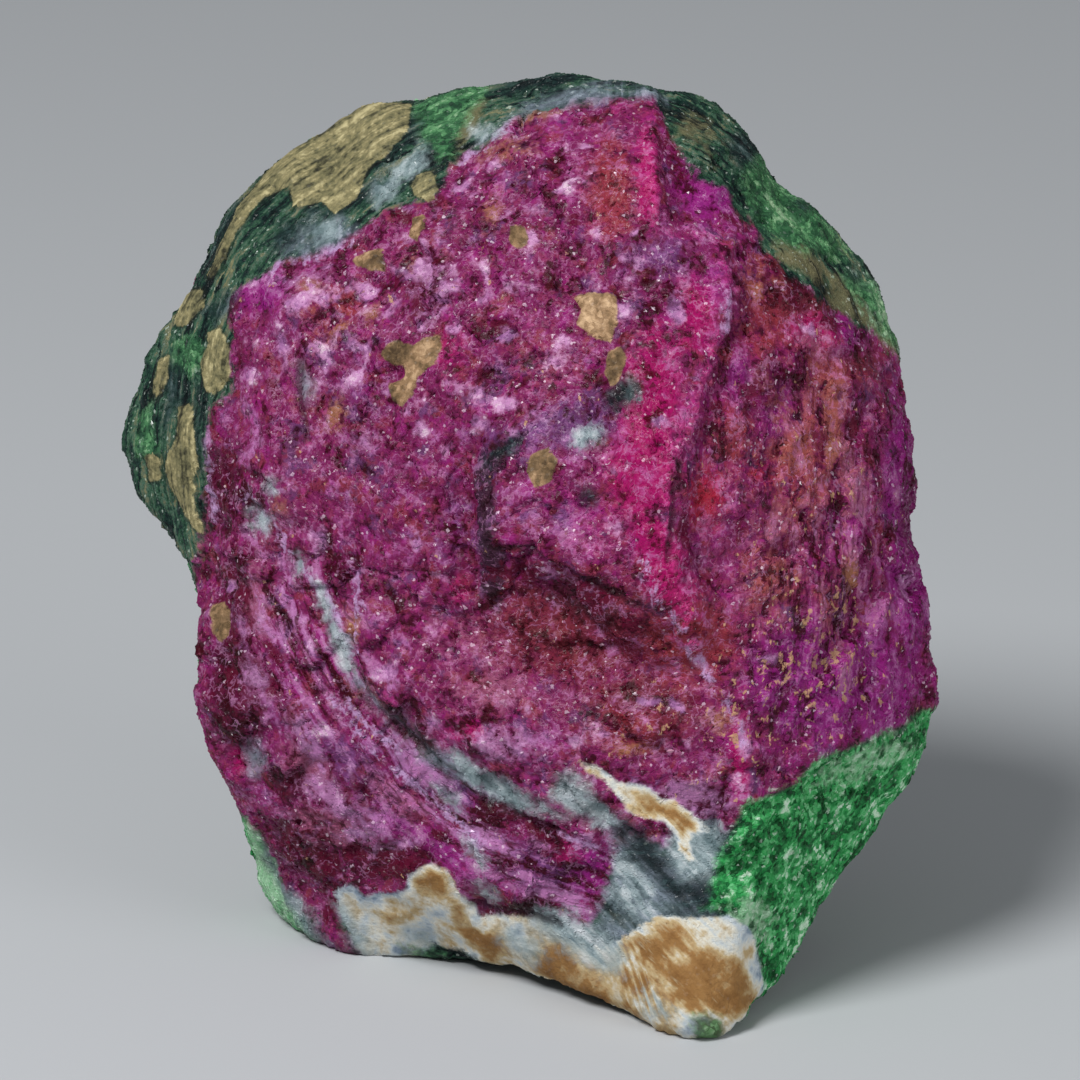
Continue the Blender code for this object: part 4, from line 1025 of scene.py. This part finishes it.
def grain_tree(name):
    """Crystal grains strewn on a skin, each an eight-sided crystal sunk into it and stretched
    along the rock's layers. The skin's attributes stay with each grain."""
    tree = bpy.data.node_groups.new(name, "GeometryNodeTree")
    for label, kind in (("Skin", "NodeSocketGeometry"), ("Density", "NodeSocketFloat"),
                        ("Share", "NodeSocketString"), ("Width", "NodeSocketFloat"),
                        ("Proud", "NodeSocketFloat"), ("Tumble", "NodeSocketFloat"),
                        ("Seed", "NodeSocketInt"), ("Finish", "NodeSocketMaterial")):
        tree.interface.new_socket(label, in_out="INPUT", socket_type=kind)
    tree.interface.new_socket("Grains", in_out="OUTPUT", socket_type="NodeSocketGeometry")
    given = add(tree, "NodeGroupInput").node.outputs
    share = add(tree, "GeometryNodeInputNamedAttribute", {"Name": given["Share"]},
                data_type="FLOAT")
    density = add(tree, "ShaderNodeMath", {0: share, 1: given["Density"]}, operation="MULTIPLY")
    points = add(tree, "GeometryNodeDistributePointsOnFaces",
                 {"Mesh": given["Skin"], "Density": density, "Seed": given["Seed"]})
    normal = points.node.outputs["Normal"]
    sink = add(tree, "ShaderNodeMath", {0: given["Proud"], 1: -GRAIN_SINK}, operation="MULTIPLY")
    offset = add(tree, "ShaderNodeVectorMath", {0: normal, "Scale": sink}, operation="SCALE")
    points = add(tree, "GeometryNodeSetPosition", {"Geometry": points, "Offset": offset})
    lay = add(tree, "GeometryNodeInputNamedAttribute", {"Name": "lay"}, data_type="FLOAT_VECTOR")
    turn = add(tree, "FunctionNodeAlignRotationToVector", {"Vector": normal}, axis="Z")
    turn = add(tree, "FunctionNodeAlignRotationToVector", {"Rotation": turn, "Vector": lay},
               axis="X", pivot_axis="Z")
    most = add(tree, "ShaderNodeCombineXYZ", {0: given["Tumble"], 1: given["Tumble"], 2: 0.7})
    least = add(tree, "ShaderNodeVectorMath", {0: most, "Scale": -1.0}, operation="SCALE")
    jitter = add(tree, "FunctionNodeRandomValue", {0: least, 1: most, "Seed": given["Seed"]},
                 data_type="FLOAT_VECTOR")
    jitter = add(tree, "FunctionNodeEulerToRotation", {0: jitter})
    turn = add(tree, "FunctionNodeRotateRotation", {"Rotation": turn, "Rotate By": jitter},
               rotation_space="LOCAL")
    again = add(tree, "ShaderNodeMath", {0: given["Seed"], 1: 50.0}, operation="ADD")
    size = add(tree, "FunctionNodeRandomValue",
               {0: GRAIN_SIZES[0], 1: GRAIN_SIZES[1], "Seed": again}, data_type="FLOAT_VECTOR")
    spread = add(tree, "ShaderNodeCombineXYZ",
                 {0: given["Width"], 1: given["Width"], 2: given["Proud"]})
    size = add(tree, "ShaderNodeVectorMath", {0: size, 1: spread}, operation="MULTIPLY")
    crystal = add(tree, "GeometryNodeMeshUVSphere", {"Segments": 4, "Rings": 2, "Radius": 1.0})
    grains = add(tree, "GeometryNodeInstanceOnPoints",
                 {"Points": points, "Instance": crystal, "Rotation": turn, "Scale": size})
    grains = add(tree, "GeometryNodeRealizeInstances", {"Geometry": grains})
    grains = add(tree, "GeometryNodeSetShadeSmooth", {"Geometry": grains, "Shade Smooth": False})
    grains = add(tree, "GeometryNodeSetMaterial", {"Geometry": grains, "Material": given["Finish"]})
    add(tree, "NodeGroupOutput", {"Grains": grains})
    return tree


def grain_map(mesh):
    """Every grain has one small square of the map, as it has one colour."""
    grains = len(mesh.loops) // GRAIN_CORNERS
    cells = math.ceil(math.sqrt(grains))
    number = np.arange(grains)
    low = np.stack([number % cells, number // cells], -1)[:, None, :]
    shape = np.tile(GRAIN_CORNER_UVS, (GRAIN_CORNERS // 3, 1))
    layout = mesh.uv_layers.new(name="OFBake")
    layout.data.foreach_set("uv", ((low + shape) / cells).ravel())


def build_grains(skin, name, share, count, width, proud, tumble, seed):
    """One piece of strewn grains. count is how many there are, sizes are in millimetres."""
    mesh = skin.data
    mesh.calc_loop_triangles()
    weights = np.empty(len(mesh.vertices), np.float32)
    mesh.attributes[share].data.foreach_get("value", weights)
    area = np.empty(len(mesh.polygons), np.float32)
    mesh.polygons.foreach_get("area", area)
    corners = np.empty(len(mesh.loops), np.int32)
    mesh.loops.foreach_get("vertex_index", corners)
    whole = float((weights[corners.reshape(-1, 4)].mean(1) * area).sum())
    holder = bpy.data.objects.new(name + "_source", mesh.copy())
    bpy.context.scene.collection.objects.link(holder)
    strew = holder.modifiers.new("strew", "NODES")
    tree = grain_tree(name)
    strew.node_group = tree
    values = {"Density": count / whole, "Share": share, "Width": width * MM, "Proud": proud * MM,
              "Tumble": tumble, "Seed": seed, "Finish": mesh.materials[0]}
    for item in tree.interface.items_tree:
        if item.name in values:
            strew[item.identifier] = values[item.name]
    result = bpy.data.meshes.new_from_object(
        holder.evaluated_get(bpy.context.evaluated_depsgraph_get()))
    bpy.data.objects.remove(holder)
    result.name = name
    while result.uv_layers:
        result.uv_layers.remove(result.uv_layers[0])
    grain_map(result)
    grains = bpy.data.objects.new(name, result)
    bpy.context.scene.collection.objects.link(grains)
    return grains


def build_camera():
    """A long lens that looks straight at the show face from SIGHT."""
    data = bpy.data.cameras.new("camera")
    data.lens = 300.0
    data.sensor_width = 36.0
    data.clip_start = 0.05
    camera = bpy.data.objects.new("camera", data)
    bpy.context.scene.collection.objects.link(camera)
    camera.matrix_world = Matrix.Translation(Vector(place([(0.0, SIGHT_V, SIGHT)])[0] * MM)) @ (
        Matrix(AXES.tolist()).transposed().to_4x4())
    bpy.context.scene.camera = camera


def area_light(name, aim_from, size, power):
    """A round soft light, aimed at the stone's middle."""
    data = bpy.data.lights.new(name, "AREA")
    data.shape = "DISK"
    data.size = size
    data.energy = power
    light = bpy.data.objects.new(name, data)
    bpy.context.scene.collection.objects.link(light)
    light.location = aim_from
    away = Vector(aim_from) - Vector(LIT)
    light.rotation_euler = away.to_track_quat("Z", "Y").to_euler()


def build_studio():
    """A pale floor and soft light from above and the left."""
    mesh = bpy.data.meshes.new("floor")
    mesh.from_pydata([(-3, -3, 0), (3, -3, 0), (3, 3, 0), (-3, 3, 0)], [], [(0, 1, 2, 3)])
    floor = bpy.data.objects.new("floor", mesh)
    bpy.context.scene.collection.objects.link(floor)
    material = bpy.data.materials.new("pale_matt_board")
    material.use_nodes = True
    shader = material.node_tree.nodes["Principled BSDF"]
    shader.inputs["Base Color"].default_value = linear("#b9bcbf")
    shader.inputs["Roughness"].default_value = 0.8
    mesh.materials.append(material)
    area_light("key", (-0.4, -0.4, 0.8), size=0.4, power=8.8)
    area_light("fill", (0.7, -0.6, 0.35), size=0.6, power=2.8)
    world = bpy.data.worlds.new("world")
    bpy.context.scene.world = world
    world.use_nodes = True
    back = world.node_tree.nodes["Background"]
    back.inputs["Color"].default_value = linear("#dfe3e8")
    back.inputs["Strength"].default_value = 0.25
    bpy.context.scene.view_settings.view_transform = "Standard"


build_camera()
build_studio()
skin = build_skin(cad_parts["stone"])
skin.data.materials.append(stone_material())
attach(skin, "root")
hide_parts("stone")

for name, share, count, width, proud, tumble, seed in [
    ("ruby_grains_a", "ruby_grain", 23500, 0.5, 0.2, 0.35, 3),
    ("ruby_grains_b", "ruby_grain", 23500, 0.4, 0.17, 0.35, 7),
    ("zoisite_grains", "green_grain", 23500, 0.45, 0.17, 0.3, 11),
    ("rear_grains", "rear_grain", 23500, 0.75, 0.3, 0.5, 19),
]:
    grains = build_grains(skin, name, share, count, width, proud, tumble, seed)
    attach(grains, "root")

bpy.context.view_layer.update()
